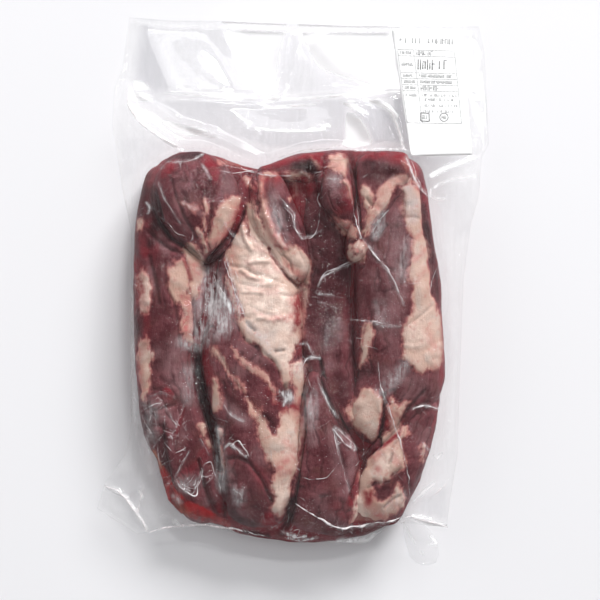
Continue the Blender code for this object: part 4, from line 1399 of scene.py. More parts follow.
# Greyer folds of doubled film, and painted shade where it leans away from the light: outlines and how strong
SHADE_AREAS = [
    ([(352, 100), (366, 101), (380, 105), (390, 113), (396, 124), (400, 136), (403, 149), (376, 149),
      (373, 138), (368, 127), (361, 117), (353, 110)], 0.46, 1.2),
    ([(394, 97), (402, 97), (404, 110), (407, 120), (412, 124), (415, 132), (415, 142), (412, 150),
      (405, 150), (402, 138), (398, 126), (394, 112)], 0.42, 1.2),
    ([(140, 18), (151, 18), (158, 40), (164, 60), (170, 78), (182, 92), (150, 92), (134, 84), (136, 60),
      (139, 36)], 0.46, 6.0),
    ([(134, 60), (150, 60), (166, 92), (158, 104), (134, 90)], 0.2, 4.0),
    ([(150, 18), (218, 18), (230, 40), (244, 66), (254, 92), (196, 92), (176, 76), (164, 52), (156, 34)],
      0.2, 4.0),
    ([(287, 26), (296, 34), (304, 40), (311, 54), (320, 66), (336, 74), (352, 79), (372, 88), (276, 92),
      (278, 70), (281, 50)], 0.14, 1.4),
    ([(160, 100), (345, 98), (346, 112), (345, 142), (300, 146), (270, 146), (240, 138), (205, 126),
      (180, 114)], 0.32, 2.4),
    ([(160, 90), (200, 94), (260, 99), (262, 102), (200, 99), (160, 94)], 0.16, 0.8),
    ([(262, 101), (345, 98), (398, 94), (398, 96), (345, 102), (262, 104)], 0.26, 0.7),
    ([(300, 93), (345, 91), (398, 87), (398, 89), (345, 93), (300, 95)], 0.2, 0.6),
    ([(413, 157), (440, 158), (470, 156), (448, 164), (434, 172), (424, 166)], 0.08, 1.6),
    ([(422, 168), (432, 176), (431, 190), (428, 194), (424, 184)], 0.12, 1.4),
    ([(434, 192), (442, 187), (456, 182), (474, 179), (472, 230), (456, 240), (442, 220)], 0.08, 4.0),
    ([(412, 505), (430, 494), (448, 490), (446, 520), (430, 516)], 0.18, 2.4),
    ([(330, 146), (346, 144), (358, 147), (356, 152), (330, 152)], 0.3, 0.8),
    ([(108, 480), (135, 470), (142, 488), (134, 505), (118, 492)], 0.14, 3.0),
    ([(158, 98), (188, 112), (215, 128), (250, 142), (268, 154), (240, 152), (205, 140), (180, 126)],
      0.2, 2.4),
    ([(120, 140), (142, 134), (170, 150), (150, 160), (134, 172), (122, 180)], 0.12, 3.0),
    ([(358, 140), (364, 137), (363, 147), (359, 149)], 0.3, 0.6),
    ([(138, 92), (150, 96), (150, 100), (136, 97)], 0.2, 0.8),
]

# Creases pressed into the film on the meat: rows and how far each stands up
CREASE_STROKES = [
    ([(202, 163, 1.4), (209, 174, 2.2), (216, 186, 1.4)], 0.8),
    ([(213, 274, 1.5), (221, 288, 2.6), (229, 307, 1.5)], 0.9),
    ([(226, 262, 0.8), (233, 285, 0.9), (243, 313, 0.7)], 0.8),
    ([(282, 386, 1.5), (286, 396, 2.5), (283, 404, 1.5)], 0.9),
    ([(334, 427, 1.0), (344, 438, 1.4), (355, 449, 1.8)], 0.9),
    ([(371, 233, 1.5), (378, 222, 2.4), (386, 213, 1.5)], 0.9),
    ([(231, 444, 1.0), (240, 450, 1.2), (247, 456, 1.0)], 0.8),
    ([(288, 534, 1.5), (300, 536, 2.4), (316, 537, 1.5)], 0.9),
    ([(160, 181, 0.9), (170, 189, 1.0), (180, 206, 0.8)], 0.7),
    ([(163, 213, 0.8), (172, 228, 0.9), (186, 238, 0.7)], 0.6),
    ([(303, 363, 0.9), (311, 358, 1.4), (319, 357, 0.9)], 0.7),
    ([(317, 294, 1.0), (330, 295, 1.2), (346, 297, 0.8)], 0.7),
    ([(317, 310, 0.9), (330, 308, 1.1), (343, 309, 0.8)], 0.6),
    ([(372, 320, 0.7), (390, 325, 0.7), (402, 326, 0.5)], 0.5),
    ([(166, 440, 0.8), (186, 446, 0.8)], 0.5),
    ([(176, 478, 1.0), (187, 491, 1.4), (196, 494, 1.0)], 0.8),
    ([(196, 494, 0.9), (200, 478, 1.0), (205, 464, 0.9)], 0.7),
    ([(290, 214, 0.7), (297, 231, 0.8), (304, 238, 0.8), (316, 234, 0.6)], 0.5),
    ([(318, 192, 0.6), (322, 205, 0.8), (318, 224, 0.6)], 0.5),
    ([(324, 470, 0.8), (342, 461, 0.8)], 0.4),
    ([(140, 230, 1.0), (148, 222, 1.2)], 0.5),
    ([(408, 232, 0.6), (424, 232, 0.6)], 0.4),
    ([(392, 246, 0.6), (400, 237, 0.7), (408, 230, 0.5)], 0.4),
]

# Folds and waves of the free film past the meat: rows and how far each stands up
FOLD_STROKES = [
    ([(125, 88, 3), (128, 105, 4), (137, 120, 4.5), (158, 136, 4), (182, 148, 3)], 3.0),
    ([(128, 84, 2), (150, 102, 2.4), (180, 122, 2), (215, 132, 1.6)], 1.6),
    ([(190, 126, 2), (230, 142, 2.4), (262, 158, 2)], 1.4),
    ([(128, 97.5, 1.2), (260, 104, 1.4), (402, 97.5, 1.2)], 0.8),
    ([(128, 94, 1.0), (260, 97.5, 1.2), (402, 92.5, 1.0)], 0.7),
    ([(128, 90.5, 1.0), (260, 92.5, 1.0), (402, 88.5, 1.0)], 0.6),
    ([(143, 22, 8), (152, 55, 9), (166, 88, 9)], 1.4),
    ([(218, 22, 8), (236, 55, 9), (255, 90, 9)], 2.2),
    ([(292, 24, 6), (284, 55, 6), (275, 90, 5)], 2.6),
    ([(318, 40, 8), (345, 66, 9), (388, 82, 6)], 2.4),
    ([(345, 100, 7), (366, 118, 9), (386, 150, 6)], 3.2),
    ([(378, 98, 4), (400, 116, 5), (406, 152, 4)], 2.2),
    ([(420, 160, 3), (450, 148, 3), (478, 146, 3)], 1.8),
    ([(424, 182, 1.5), (450, 170, 2), (474, 158, 2)], 1.5),
    ([(104, 486, 1.5), (120, 494, 1.8), (134, 512, 1.8), (148, 533, 1.5)], 2.0),
    ([(143, 488, 1.5), (137, 510, 1.5)], 1.6),
    ([(128, 494, 1.2), (142, 488, 1.4)], 1.0),
    ([(160, 520, 1.5), (178, 519, 2), (186, 514, 1.5)], 1.4),
    ([(430, 500, 1.5), (447, 484, 1.5)], 1.4),
    ([(413, 518, 1.5), (430, 522, 2.2), (448, 528, 1.5)], 2.0),
    ([(128, 330, 1.2), (129, 400, 1.2), (139, 440, 1.2)], 0.8),
    ([(110, 330, 4), (112, 410, 4), (120, 470, 4)], 1.6),
    ([(446, 250, 3), (450, 350, 4), (446, 450, 3)], 1.2),
    ([(142, 436, 1.4), (144, 455, 1.6), (145, 480, 1.4)], 1.0),
]


def shaped(grid, strokes, soft):
    """The sum of the strokes' heights over the grid, each fading out over the soft distance."""
    x, y = grid[..., 0].ravel(), grid[..., 1].ravel()
    total = np.zeros(len(x))
    for rows, height in strokes:
        reach = PIXEL * mean_reach(rows) + soft
        total += height * share_inside(stroke_depth(x, y, rows, reach), reach)
    return total.reshape(grid.shape[:2])


def areas_over(grid, areas):
    """The strongest of the soft-edged areas over the grid."""
    x, y = grid[..., 0].ravel(), grid[..., 1].ravel()
    total = np.zeros(len(x))
    for corners, strength, soft in areas:
        total = np.maximum(total, strength * share_inside(area_depth(x, y, corners, soft), soft))
    return total.reshape(grid.shape[:2])


FOLD_SOFTNESS, CREASE_SOFTNESS = 1.2, 0.9
VEIL_SOFTNESS, GLINT_SOFTNESS = 1.3, 0.15
GLARE_STRENGTH, GLARE_SOFTNESS = 0.8, 0.9
LABEL_BED_SOFTNESS, LABEL_BED_GAIN = 4.0, 2.2
LOWEST_BACK = 0.05
FREE_WITHIN, FREE_OVER = 2.0, 1.5
BACK_FOLD_SHARE = 0.85
FULL_SLACK = 2.4
VEIL_TAUTNESS, LEAST_SLACK = 2.0, 0.15
GLINT_WHOLE, GLINT_BREAKS, BREAK_SEED = 0.72, (3.6, 0.75), 3.0
FAINTEST_GLINT, GLINT_ON_MEAT = 0.3, 0.6
BACK_PRESSED, BACK_SLACK = 0.5, 0.3
FADE_RINGS = 4
APART_FROM, APART_OVER = 86.0, 14.0
LABEL_GROUND = [(414.2, 155.9), (392.2, 26.3), (463.5, 26.3), (472.5, 154.4)]
top_grid = filled_grid((MOUTH_SIDE, RIGHT_SIDE, LOWER_SIDE, LEFT_SIDE), TOP_CELLS)
back_grid = top_grid[::2, ::2]
folds = shaped(top_grid, FOLD_STROKES, FOLD_SOFTNESS)
top_height, slack = film_ply(top_grid, True)
top_height += shaped(top_grid, CREASE_STROKES, CREASE_SOFTNESS)
back_height = np.maximum(film_ply(back_grid, False)[0], LOWEST_BACK)
lifted = np.abs(top_height - film_height(top_grid[..., 0], top_grid[..., 1]))
free = smooth_step((FREE_WITHIN - lifted) / FREE_OVER)
edge_fade = np.ones(top_height.shape)
for ring in range(FADE_RINGS):
    for edge in (np.s_[ring, :], np.s_[-1 - ring, :], np.s_[:, ring], np.s_[:, -1 - ring]):
        edge_fade[edge] = np.minimum(edge_fade[edge], ring / FADE_RINGS)
free_folds = folds * free * edge_fade
top_height += free_folds
label_share = areas_over(top_grid, [(LABEL_GROUND, 1.0, LABEL_BED_SOFTNESS)])
level_film = label_share > 0.5
bed = np.column_stack([top_grid[level_film], np.ones(level_film.sum())])
slope = np.linalg.lstsq(bed, top_height[level_film], rcond=None)[0]
level_height = top_grid[..., 0] * slope[0] + top_grid[..., 1] * slope[1] + slope[2]
top_height += (level_height - top_height) * np.clip(LABEL_BED_GAIN * label_share, 0.0, 1.0)
back_height = np.minimum(back_height + free_folds[::2, ::2] * BACK_FOLD_SHARE, top_height[::2, ::2])
on_meat = 1.0 - free
flat_x, flat_y = top_grid[..., 0].ravel(), top_grid[..., 1].ravel()
veils_and_sheen = painted(flat_x, flat_y, HAZE_AND_SHEEN_STROKES, VEIL_SOFTNESS).reshape(top_height.shape)
glints = painted(flat_x, flat_y, GLINT_STROKES, GLINT_SOFTNESS).reshape(top_height.shape)
glare = areas_over(top_grid, [(corners, GLARE_STRENGTH, GLARE_SOFTNESS) for corners in GLARE_AREAS])
shaded = areas_over(top_grid, SHADE_AREAS)
slack = np.clip(slack / FULL_SLACK, 0.0, 1.0)
slack = slack * (1.0 - np.clip(VEIL_TAUTNESS * veils_and_sheen, 0.0, 1.0 - LEAST_SLACK))
broken = GLINT_WHOLE + formed(flat_x, flat_y, np.full(flat_x.shape, BREAK_SEED), GLINT_BREAKS)
broken = broken.reshape(top_height.shape)
glints *= 1.0 - on_meat * (1.0 - GLINT_ON_MEAT * np.clip(broken, FAINTEST_GLINT, 1.0))
# The milky share also carries the painted glints, glare and sheen
haze_and_highlight = HAZE_ON_MEAT * slack * on_meat + HAZE_IN_MARGIN * free + veils_and_sheen
haze_and_highlight = np.maximum(np.maximum(haze_and_highlight, glints), glare * free)
shaded *= free * (1.0 - np.clip(glints + glare, 0.0, 1.0))
apart = free * smooth_step((top_grid[..., 1] - APART_FROM) / APART_OVER)

film_points, film_faces, inner = envelope(top_grid, top_height, back_grid, back_height)


def on_both(upper, lower, inner):
    """A value on each point of an envelope: a grid of them above, and one below."""
    return np.concatenate([np.ravel(upper), np.full(inner.sum(), lower)])


film_values = {
    "haze_and_highlight": on_both(haze_and_highlight, HAZE_IN_MARGIN, inner),
    "pressed": on_both(on_meat, BACK_PRESSED, inner),
    "slack": on_both(slack * on_meat, BACK_SLACK, inner),
    "fold_shade": on_both(shaded, 0.0, inner),
    "apart": on_both(apart, 0.0, inner),
}

FILM_TINT = (0.995, 0.995, 0.995)
# White of the milky film, also the colour of its painted highlights
MILK_AND_HIGHLIGHT = (0.93, 0.92, 0.93)
DOUBLED_AND_SHADED_TINT = (0.52, 0.52, 0.555)
STREAK_TURN = -24.0
STREAK_SCALE = (1.0, 0.16, 0.4)
FILM_SHINE_APART = 0.035
FILM_SHINE = 0.024
FILM_SHINE_ON_MEAT = 0.018

film, t = new_material("clear_film")
place = t.place()
pressed = t.attribute("pressed")
seen = t.rest_of(t.node("ShaderNodeLightPath").outputs["Is Shadow Ray"])
wave = t.noise(place, 60.0, 2.0, 0.5, 0.5)
ripple = t.noise(place, 330.0, 3.0, 0.6, 0.4)
imprint = t.noise(place, 1100.0, 2.0, 0.6)

# The film's relief: crumples where it is slack, the meat's grain where it is pressed on, and a slow swell
bent = t.node("ShaderNodeVectorMath", operation="ADD")
bend = t.node("ShaderNodeCombineXYZ")
t.link(t.times(wave, 0.03), bend.inputs[0])
t.link(t.times(ripple, 0.006), bend.inputs[1])
t.link(place, bent.inputs[0])
t.link(bend.outputs[0], bent.inputs[1])
crumple = t.maths("MINIMUM", t.cells(bent.outputs[0], 75.0), 0.25)
small_crumple = t.maths("MINIMUM", t.cells(bent.outputs[0], 260.0), 0.3)
loose = t.times(t.attribute("slack"), t.scaled(small_crumple, 1.3, t.times(crumple, 2.0)))
printed_through = t.times(pressed, t.scaled(imprint, 0.22, t.times(ripple, 0.55)))
swell = t.times(wave, t.scaled(pressed, 0.3, 0.3))
relief = t.bumped(t.plus(swell, t.scaled(loose, 1.0, printed_through)), 0.5, 0.0018)

# Its milky places, with painted glints, glare and sheen, drawn out in streaks where it was stretched over the
# meat
haze_and_highlight = t.attribute("haze_and_highlight")
drawn = t.node("ShaderNodeMapping")
drawn.inputs["Rotation"].default_value = (0.0, 0.0, math.radians(STREAK_TURN))
drawn.inputs["Scale"].default_value = STREAK_SCALE
t.link(place, drawn.inputs["Vector"])
streak = t.noise(drawn.outputs[0], 420.0, 3.0, 0.6)
speckle = t.plus(t.ramped(streak, 0.34, 0.66, -0.75, 0.85), t.ramped(ripple, 0.34, 0.66, -0.3, 0.3))
speckle = t.times(t.plus(speckle, t.ramped(wave, 0.35, 0.65, -0.4, 0.4)), pressed)
evened = t.times(haze_and_highlight, t.scaled(pressed, -0.55, 1.0))
milk_and_highlight_share = t.times(haze_and_highlight, t.scaled(speckle, t.rest_of(evened), 1.0), clamp=True)
single = t.shader("ShaderNodeBsdfTransparent", Color=FILM_TINT)
doubled = t.shader("ShaderNodeBsdfTransparent", Color=DOUBLED_AND_SHADED_TINT)
milk_and_highlight = t.shader("ShaderNodeBsdfPrincipled", Base_Color=MILK_AND_HIGHLIGHT, Roughness=0.4)
# Painted shade in the greyer folds, through a darker clear tint
body = t.blended(t.times(t.attribute("fold_shade"), seen), single, doubled)
body = t.blended(t.times(milk_and_highlight_share, seen), body, milk_and_highlight)

# Its shine, stronger at a glance and where the two plies stand apart
grazing = t.maths("POWER", t.node("ShaderNodeLayerWeight").outputs["Facing"], 5.0)
level = t.scaled(pressed, FILM_SHINE_ON_MEAT, FILM_SHINE)
level = t.scaled(t.attribute("apart"), FILM_SHINE_APART, level)
share = t.scaled(grazing, 0.22, level, clamp=True)
shine = t.shader("ShaderNodeBsdfGlossy", Color=(1.0, 1.0, 1.0), Roughness=0.07, Normal=relief)
t.surfaced(t.blended(t.times(share, seen), body, shine))

piece_from("film_bag", (film_points, film_faces, film_values), film, "vacuum_bag")
film_tree = BVHTree.FromPolygons([tuple(p) for p in film_points.tolist()], film_faces)


def on_film(x, y):
    """Height of the upper film at a point."""
    hit = film_tree.ray_cast((x, y, RAY_START), (0.0, 0.0, -1.0))[0]
    return hit.z if hit is not None else float(film_height(np.array(x), np.array(y)))


# The corner of the bag is folded out past the lower seam as a small empty tongue of the same film, closed
# and puffed up a little
TONGUE_SIDES = (
    [(403, 519), (408, 516), (414, 517)],
    [(414, 517), (424, 525), (434, 536), (439, 546), (440, 557), (437, 565)],
    [(410, 558), (416, 564), (423, 567.5), (430, 567.5), (437, 565)],
    [(403, 519), (404, 530), (406, 543), (410, 558)],
)
TONGUE_CELLS = (36, 60)
TONGUE_FOOT = 7.0
TONGUE_RISE = 2.0
TONGUE_DOME = 2.6
TONGUE_GAP = 0.25
TONGUE_BELLY = 1.6
TONGUE_WAVES = (7.0, 0.8)
DOME_ROUNDNESS = (0.5, 0.3)
TONGUE_GLINT_SOFTNESS, TONGUE_SHADE_SOFTNESS = 0.2, 0.6
TONGUE_APART = 0.5

tongue_grid = filled_grid([placed(side) for side in TONGUE_SIDES], TONGUE_CELLS)
across = np.linspace(0.0, 1.0, TONGUE_CELLS[0] + 1)[None]
along = np.linspace(0.0, 1.0, TONGUE_CELLS[1] + 1)[:, None]
dome = (4.0 * across * (1.0 - across)) ** DOME_ROUNDNESS[0]
dome = dome * (4.0 * along * (1.0 - along)) ** DOME_ROUNDNESS[1]
tongue_x, tongue_y = tongue_grid[..., 0].ravel(), tongue_grid[..., 1].ravel()
crossed = formed(tongue_x, tongue_y, np.zeros(dome.size), TONGUE_WAVES)
middle = TONGUE_FOOT + TONGUE_RISE * along + crossed.reshape(dome.shape) * np.minimum(dome, 1.0)
upper = middle + TONGUE_DOME * dome
lower = middle - TONGUE_GAP - TONGUE_BELLY * dome
points, faces, inner = envelope(tongue_grid, upper, tongue_grid[::2, ::2], lower[::2, ::2])
# Painted glints on the tongue, and painted shade along its rim and across it
TONGUE_GLINTS = [
    ([(431, 538, 0.8), (434, 541, 1.2), (438, 545, 0.9), (431, 546, 0.6)], 0.95),
    ([(422, 554, 1.2), (424, 556, 1.2)], 0.5),
    ([(405, 524, 0.8), (410, 534, 1.0), (416, 546, 0.8)], 0.35),
]
TONGUE_SHADES = [
    ([(404, 526, 1.4), (407, 542, 2.0), (411, 556, 2.4), (419, 565, 2.6), (429, 568, 2.4),
      (437, 564, 1.8)], 0.12),
    ([(411, 530, 8), (416, 548, 9)], 0.1),
]
tongue_glints = painted(tongue_x, tongue_y, TONGUE_GLINTS, TONGUE_GLINT_SOFTNESS)
tongue_shade = painted(tongue_x, tongue_y, TONGUE_SHADES, TONGUE_SHADE_SOFTNESS)
tongue_values = {
    "haze_and_highlight": on_both(np.maximum(tongue_glints, HAZE_IN_MARGIN), HAZE_IN_MARGIN, inner),
    "pressed": np.zeros(len(points)),
    "slack": np.zeros(len(points)),
    "fold_shade": on_both(tongue_shade, 0.0, inner),
    "apart": np.full(len(points), TONGUE_APART),
}
piece_from("corner_tongue", (points, faces, tongue_values), film)

# Pleats are where spare film is gathered into a thin upright fold, doubled on itself. They run down the
# slopes of the meat and along the lower seam, milky at their crests, a painted highlight, and taper to
# nothing.
PLEAT_THICKNESS = 0.3
PLEAT_SIDES = 8
PLEAT_WIDTH = 1.3
PLEAT_WANDER = 0.9
PLEAT_WANDER_SIZE = 5.0
PLEAT_UNEVEN = 1.1
PLEAT_LIFT = 0.2
SIDEWAYS_SEED = 9.0
TAPER_START, TAPER_FULLNESS = 0.6, 0.6
THINNEST_END = 0.08
POINTS_A_SPAN = 10
GLINT_PLEAT = 0.8
PLEAT_MILK_AND_HIGHLIGHT = (0.90, 0.84, 0.85)
PLEATS = [
    ([(352, 200), (354, 216), (358, 232), (366, 245), (376, 258), (388, 272), (398, 292), (403, 306)],
      1.0),
    ([(351, 320), (372, 321), (400, 326)], 0.7),
    ([(412, 408), (425, 405), (438, 409)], 1.4),
    ([(378, 366), (379, 378), (382, 391), (390, 412), (397, 434), (404, 456), (408, 480), (410, 502)],
      0.8),
    ([(295, 502), (310, 512), (324, 520), (336, 526), (350, 527), (375, 523), (400, 518), (416, 517)],
      2.0),
    ([(220, 172), (236, 173), (250, 172), (262, 175), (276, 177), (292, 176)], 1.3),
    ([(218, 170), (228, 167), (246, 170), (262, 174)], 0.8),
    ([(175, 478), (185, 490), (195, 495), (200, 482), (205, 463)], 1.0),
    ([(205, 463), (211, 462), (216, 474), (221, 490)], 0.8),
    ([(284, 208), (292, 216), (296, 232), (303, 239), (312, 237), (318, 228)], 0.7),
    ([(318, 228), (320, 210), (318, 198), (322, 190)], 0.5),
    ([(316, 292), (322, 276), (336, 268), (350, 262)], 0.6),
    ([(303, 367), (306, 360), (312, 357), (320, 357)], 0.9),
    ([(300, 475), (312, 478), (325, 476), (336, 466)], 0.4),
    ([(168, 222), (176, 232), (186, 237)], 0.5),
    ([(139, 412), (152, 405), (162, 402)], 0.8),
    ([(148, 533), (160, 530), (178, 527), (205, 526), (230, 528), (248, 532), (264, 535)], 1.9),
    ([(225, 262), (230, 276), (236, 292), (243, 312)], 0.8),
    ([(232, 258), (238, 276), (244, 296)], 0.5),
    ([(410, 158), (416, 176), (424, 194), (434, 200), (446, 199)], 0.7),
    ([(104, 486), (120, 494), (136, 514), (148, 533)], 1.5),
    ([(143, 488), (138, 508), (136, 520)], 0.9),
    ([(128, 87), (128, 104), (140, 122), (160, 137), (183, 149)], 1.4),
    ([(331, 427), (338, 434), (346, 444), (354, 449)], 0.8),
    ([(333, 430), (336, 446), (340, 458)], 0.5),
    ([(164, 440), (175, 452), (186, 446)], 0.5),
    ([(231, 445), (238, 440), (246, 448), (250, 455)], 0.8),
    ([(270, 448), (274, 462), (281, 470)], 0.4),
    ([(428, 296), (432, 278), (440, 262)], 0.5),
    ([(413, 518), (430, 523), (448, 528)], 1.8),
    ([(430, 500), (438, 492), (447, 484)], 1.0),
    ([(255, 156), (262, 150), (268, 158)], 0.5),
    ([(278, 158), (300, 151), (330, 149), (360, 150), (392, 152)], 0.8),
]

pleat_film, t = new_material("gathered_film")
# Milky where it faces the viewer: a painted highlight on the crests
middle = t.rest_of(t.node("ShaderNodeLayerWeight").outputs["Facing"])
patches = t.ramped(t.noise(t.place(), 170.0, 3.0, 0.6), 0.38, 0.6, 0.08, 0.85)
t.surfaced(t.blended(
    t.times(patches, t.ramped(middle, 0.2, 0.95)),
    t.shader("ShaderNodeBsdfTransparent"),
    t.shader("ShaderNodeBsdfPrincipled", Base_Color=PLEAT_MILK_AND_HIGHLIGHT, Roughness=0.2),
))


def pleat_maker():
    """A tree that thickens curves into tapered folds."""
    tree = bpy.data.node_groups.new("pleat_maker", "GeometryNodeTree")
    tree.interface.new_socket("Geometry", in_out="INPUT", socket_type="NodeSocketGeometry")
    thickness = tree.interface.new_socket("Thickness", in_out="INPUT", socket_type="NodeSocketFloat")
    tree.interface.new_socket("Geometry", in_out="OUTPUT", socket_type="NodeSocketGeometry")
    made = Tree(tree)
    start, end = made.node("NodeGroupInput"), made.node("NodeGroupOutput")
    profile = made.node("GeometryNodeCurvePrimitiveCircle")
    profile.inputs["Resolution"].default_value = PLEAT_SIDES
    made.link(start.outputs["Thickness"], profile.inputs["Radius"])
    sweep = made.node("GeometryNodeCurveToMesh")
    sweep.inputs["Fill Caps"].default_value = True
    made.link(start.outputs["Geometry"], sweep.inputs["Curve"])
    made.link(profile.outputs["Curve"], sweep.inputs["Profile Curve"])
    made.link(made.node("GeometryNodeInputRadius").outputs[0], sweep.inputs["Scale"])
    smooth = made.node("GeometryNodeSetShadeSmooth")
    made.link(sweep.outputs[0], smooth.inputs["Geometry"])
    real = made.node("GeometryNodeRealizeInstances")
    made.link(smooth.outputs[0], real.inputs[0])
    finish = made.node("GeometryNodeSetMaterial")
    finish.inputs["Material"].default_value = pleat_film
    made.link(real.outputs[0], finish.inputs["Geometry"])
    made.link(finish.outputs[0], end.inputs[0])
    return tree, thickness.identifier


lines = bpy.data.curves.new("pleat_lines", "CURVE")
lines.dimensions = "3D"


def stray_at(x, y, level):
    """How far and which way a pleat strays at a point, from -1 to 1."""
    return noise.noise(Vector((x / PLEAT_WANDER_SIZE, y / PLEAT_WANDER_SIZE, level)))


def add_pleat(path, width):
    """One tapered fold along points of the film."""
    spline = lines.splines.new("POLY")
    spline.points.add(len(path) - 1)
    for k, (x, y) in enumerate(path.tolist()):
        taper = math.sin(math.pi * (k + TAPER_START) / (len(path) + 0.2)) ** TAPER_FULLNESS
        stray = stray_at(x, y, width)
        x += PLEAT_WANDER * stray
        y += PLEAT_WANDER * stray_at(x, y, width + SIDEWAYS_SEED)
        z = on_film(x, y) + PLEAT_LIFT * PLEAT_THICKNESS * width
        spline.points[k].co = (x * MM, y * MM, z * MM, 1.0)
        spline.points[k].radius = width * max(taper, THINNEST_END) * (1.0 + PLEAT_UNEVEN * stray)


for rows, width in PLEATS:
    add_pleat(curve_through(placed(rows), POINTS_A_SPAN), width * PLEAT_WIDTH)
# Each painted glint also gets a thin milky pleat along it, a painted highlight
for rows, strength in GLINT_STROKES:
    add_pleat(curve_through(placed([row[:2] for row in rows]), POINTS_A_SPAN), GLINT_PLEAT * strength)

# Small crinkles are spread where the film is slack and thickest in these places: rows and how strong
SMALL_PLEATS = 560
SMALL_PLEAT_POINTS = 6
SMALL_PLEAT_WIDTHS = (0.1, 0.42)
SHARE_ON_SLACK = 0.06
SLACK_GAIN = 1.5
FIRST_TURN, LATER_TURNS = 0.35, 0.12
STRIDES, SHORTEST_STRIDE = (2.0, 0.24), 0.2
draw = np.random.default_rng(11)
CRINKLED = [
    ([(228, 246, 6), (238, 232, 5)], 1.0),
    ([(202, 238, 5), (196, 246, 5)], 1.0),
    ([(214, 290, 7), (206, 312, 8)], 0.6),
    ([(226, 262, 4), (240, 312, 5)], 0.7),
    ([(286, 396, 6)], 1.0),
    ([(158, 198, 6), (152, 210, 5)], 0.9),
    ([(160, 170, 8), (180, 156, 5), (200, 156, 5)], 0.8),
    ([(226, 166, 6), (252, 172, 6)], 0.9),
    ([(236, 446, 7), (246, 456, 5)], 0.9),
    ([(188, 488, 8), (200, 476, 6)], 0.8),
    ([(150, 428, 7), (156, 462, 6), (166, 486, 6)], 0.8),
    ([(172, 440, 12), (186, 424, 8)], 0.9),
    ([(158, 400, 9), (180, 462, 10)], 0.5),
    ([(310, 164, 7), (318, 198, 6)], 0.6),
    ([(360, 242, 6)], 0.6),
    ([(322, 300, 12), (336, 316, 9)], 0.7),
    ([(299, 352, 6), (312, 362, 6)], 0.7),
    ([(340, 442, 7)], 0.5),
    ([(296, 536, 8), (270, 530, 8)], 0.9),
    ([(388, 404, 5), (392, 436, 6)], 0.5),
    ([(340, 532, 8), (376, 528, 8)], 0.7),
    ([(196, 346, 7)], 0.9),
    ([(248, 326, 6), (278, 350, 6)], 0.5),
    ([(282, 480, 6), (274, 500, 6)], 0.5),
    ([(412, 440, 7), (420, 470, 6)], 0.4),
]
gathered = painted(flat_x, flat_y, CRINKLED, 1.0)
chance = SHARE_ON_SLACK * np.maximum(slack * on_meat, 0.0).ravel() ** SLACK_GAIN + gathered**2
slope_up, slope_along = np.gradient(blurred(top_height, 2))
downhill = np.arctan2(slope_up, slope_along).ravel()
for spot in draw.choice(chance.size, SMALL_PLEATS, p=chance / chance.sum()):
    start = top_grid.reshape(-1, 2)[spot] + draw.normal(0.0, 1.0, 2)
    first_turn = draw.normal(0.0, FIRST_TURN)
    later_turns = np.cumsum(draw.normal(0.0, LATER_TURNS, SMALL_PLEAT_POINTS))
    heading = downhill[spot] + first_turn + later_turns
    stride = draw.gamma(*STRIDES) + SHORTEST_STRIDE
    steps = np.column_stack([np.cos(heading), np.sin(heading)]) * stride
    add_pleat(start + np.cumsum(steps, axis=0), draw.uniform(*SMALL_PLEAT_WIDTHS))
carrier = bpy.data.objects.new("pleat_lines", lines)
bpy.context.scene.collection.objects.link(carrier)
tree, thickness = pleat_maker()
maker = carrier.modifiers.new("pleats", "NODES")
maker.node_group = tree
maker[thickness] = PLEAT_THICKNESS * MM
bpy.context.view_layer.update()
swept = bpy.data.meshes.new_from_object(carrier.evaluated_get(bpy.context.evaluated_depsgraph_get()))
bpy.data.objects.remove(carrier)
swept.name = "film_pleats"
swept.materials.clear()
piece_from("film_pleats", swept, pleat_film)

# The label is thin white paper with a glued back, stuck to the film beside the mouth, and its print is a
# plain ruled table with bars in place of words.
LABEL_CORNERS = ((78.0, 89.5), (65.5, 175.0), (112.5, 175.0), (118.5, 90.5))
LABEL_LIFT = 0.3
LABEL_FEELER = 1.2
LABEL_THICKNESS = 0.12
LABEL_CELLS = (24, 44)
PRINT_LIFT = 0.05
PRINT_DEPTH = 1.5 * PRINT_LIFT
PAPER_EVENED, PAPER_SMOOTHED = 12, 3
BAR_STEP = 1.5
PAPER_SHEER = 0.75
PAPER_GREY = (0.93, 0.93, 0.93)
PAPER_WHITE = (0.96, 0.96, 0.965)


def label_place(u, v):
    """A point of the label from its shares across and up."""
    low_left, high_left, high_right, low_right = (np.array(c) for c in LABEL_CORNERS)
    return (1 - v) * ((1 - u) * low_left + u * low_right) + v * ((1 - u) * high_left + u * high_right)


across, up = LABEL_CELLS
sheet = np.zeros((up + 1, across + 1, 3))
beside = (-LABEL_FEELER, 0, LABEL_FEELER)
for j in range(up + 1):
    for i in range(across + 1):
        x, y = sheet[j, i, :2] = label_place(i / across, j / up)
        sheet[j, i, 2] = max(on_film(x + dx, y + dy) for dx in beside for dy in beside)
level = np.maximum(blurred(sheet[..., 2], PAPER_EVENED), sheet[..., 2]) + LABEL_LIFT
sheet[..., 2] = blurred(level, PAPER_SMOOTHED)


def closed_sheet(points, thickness):
    """A closed thin sheet under a grid of points."""
    rows, columns = points.shape[:2]
    index = np.arange(rows * columns).reshape(rows, columns)
    under = index + rows * columns
    lower = points.copy()
    lower[..., 2] -= thickness
    faces = quads(index) + [face[:1] + face[:0:-1] for face in quads(under)]
    rim = [*index[0, :], *index[1:, -1], *index[-1, -2::-1], *index[-2:0:-1, 0]]
    for a, b in zip(rim, rim[1:] + rim[:1]):
        faces.append([int(b), int(a), int(a) + rows * columns, int(b) + rows * columns])
    return np.vstack([points.reshape(-1, 3), lower.reshape(-1, 3)]), faces


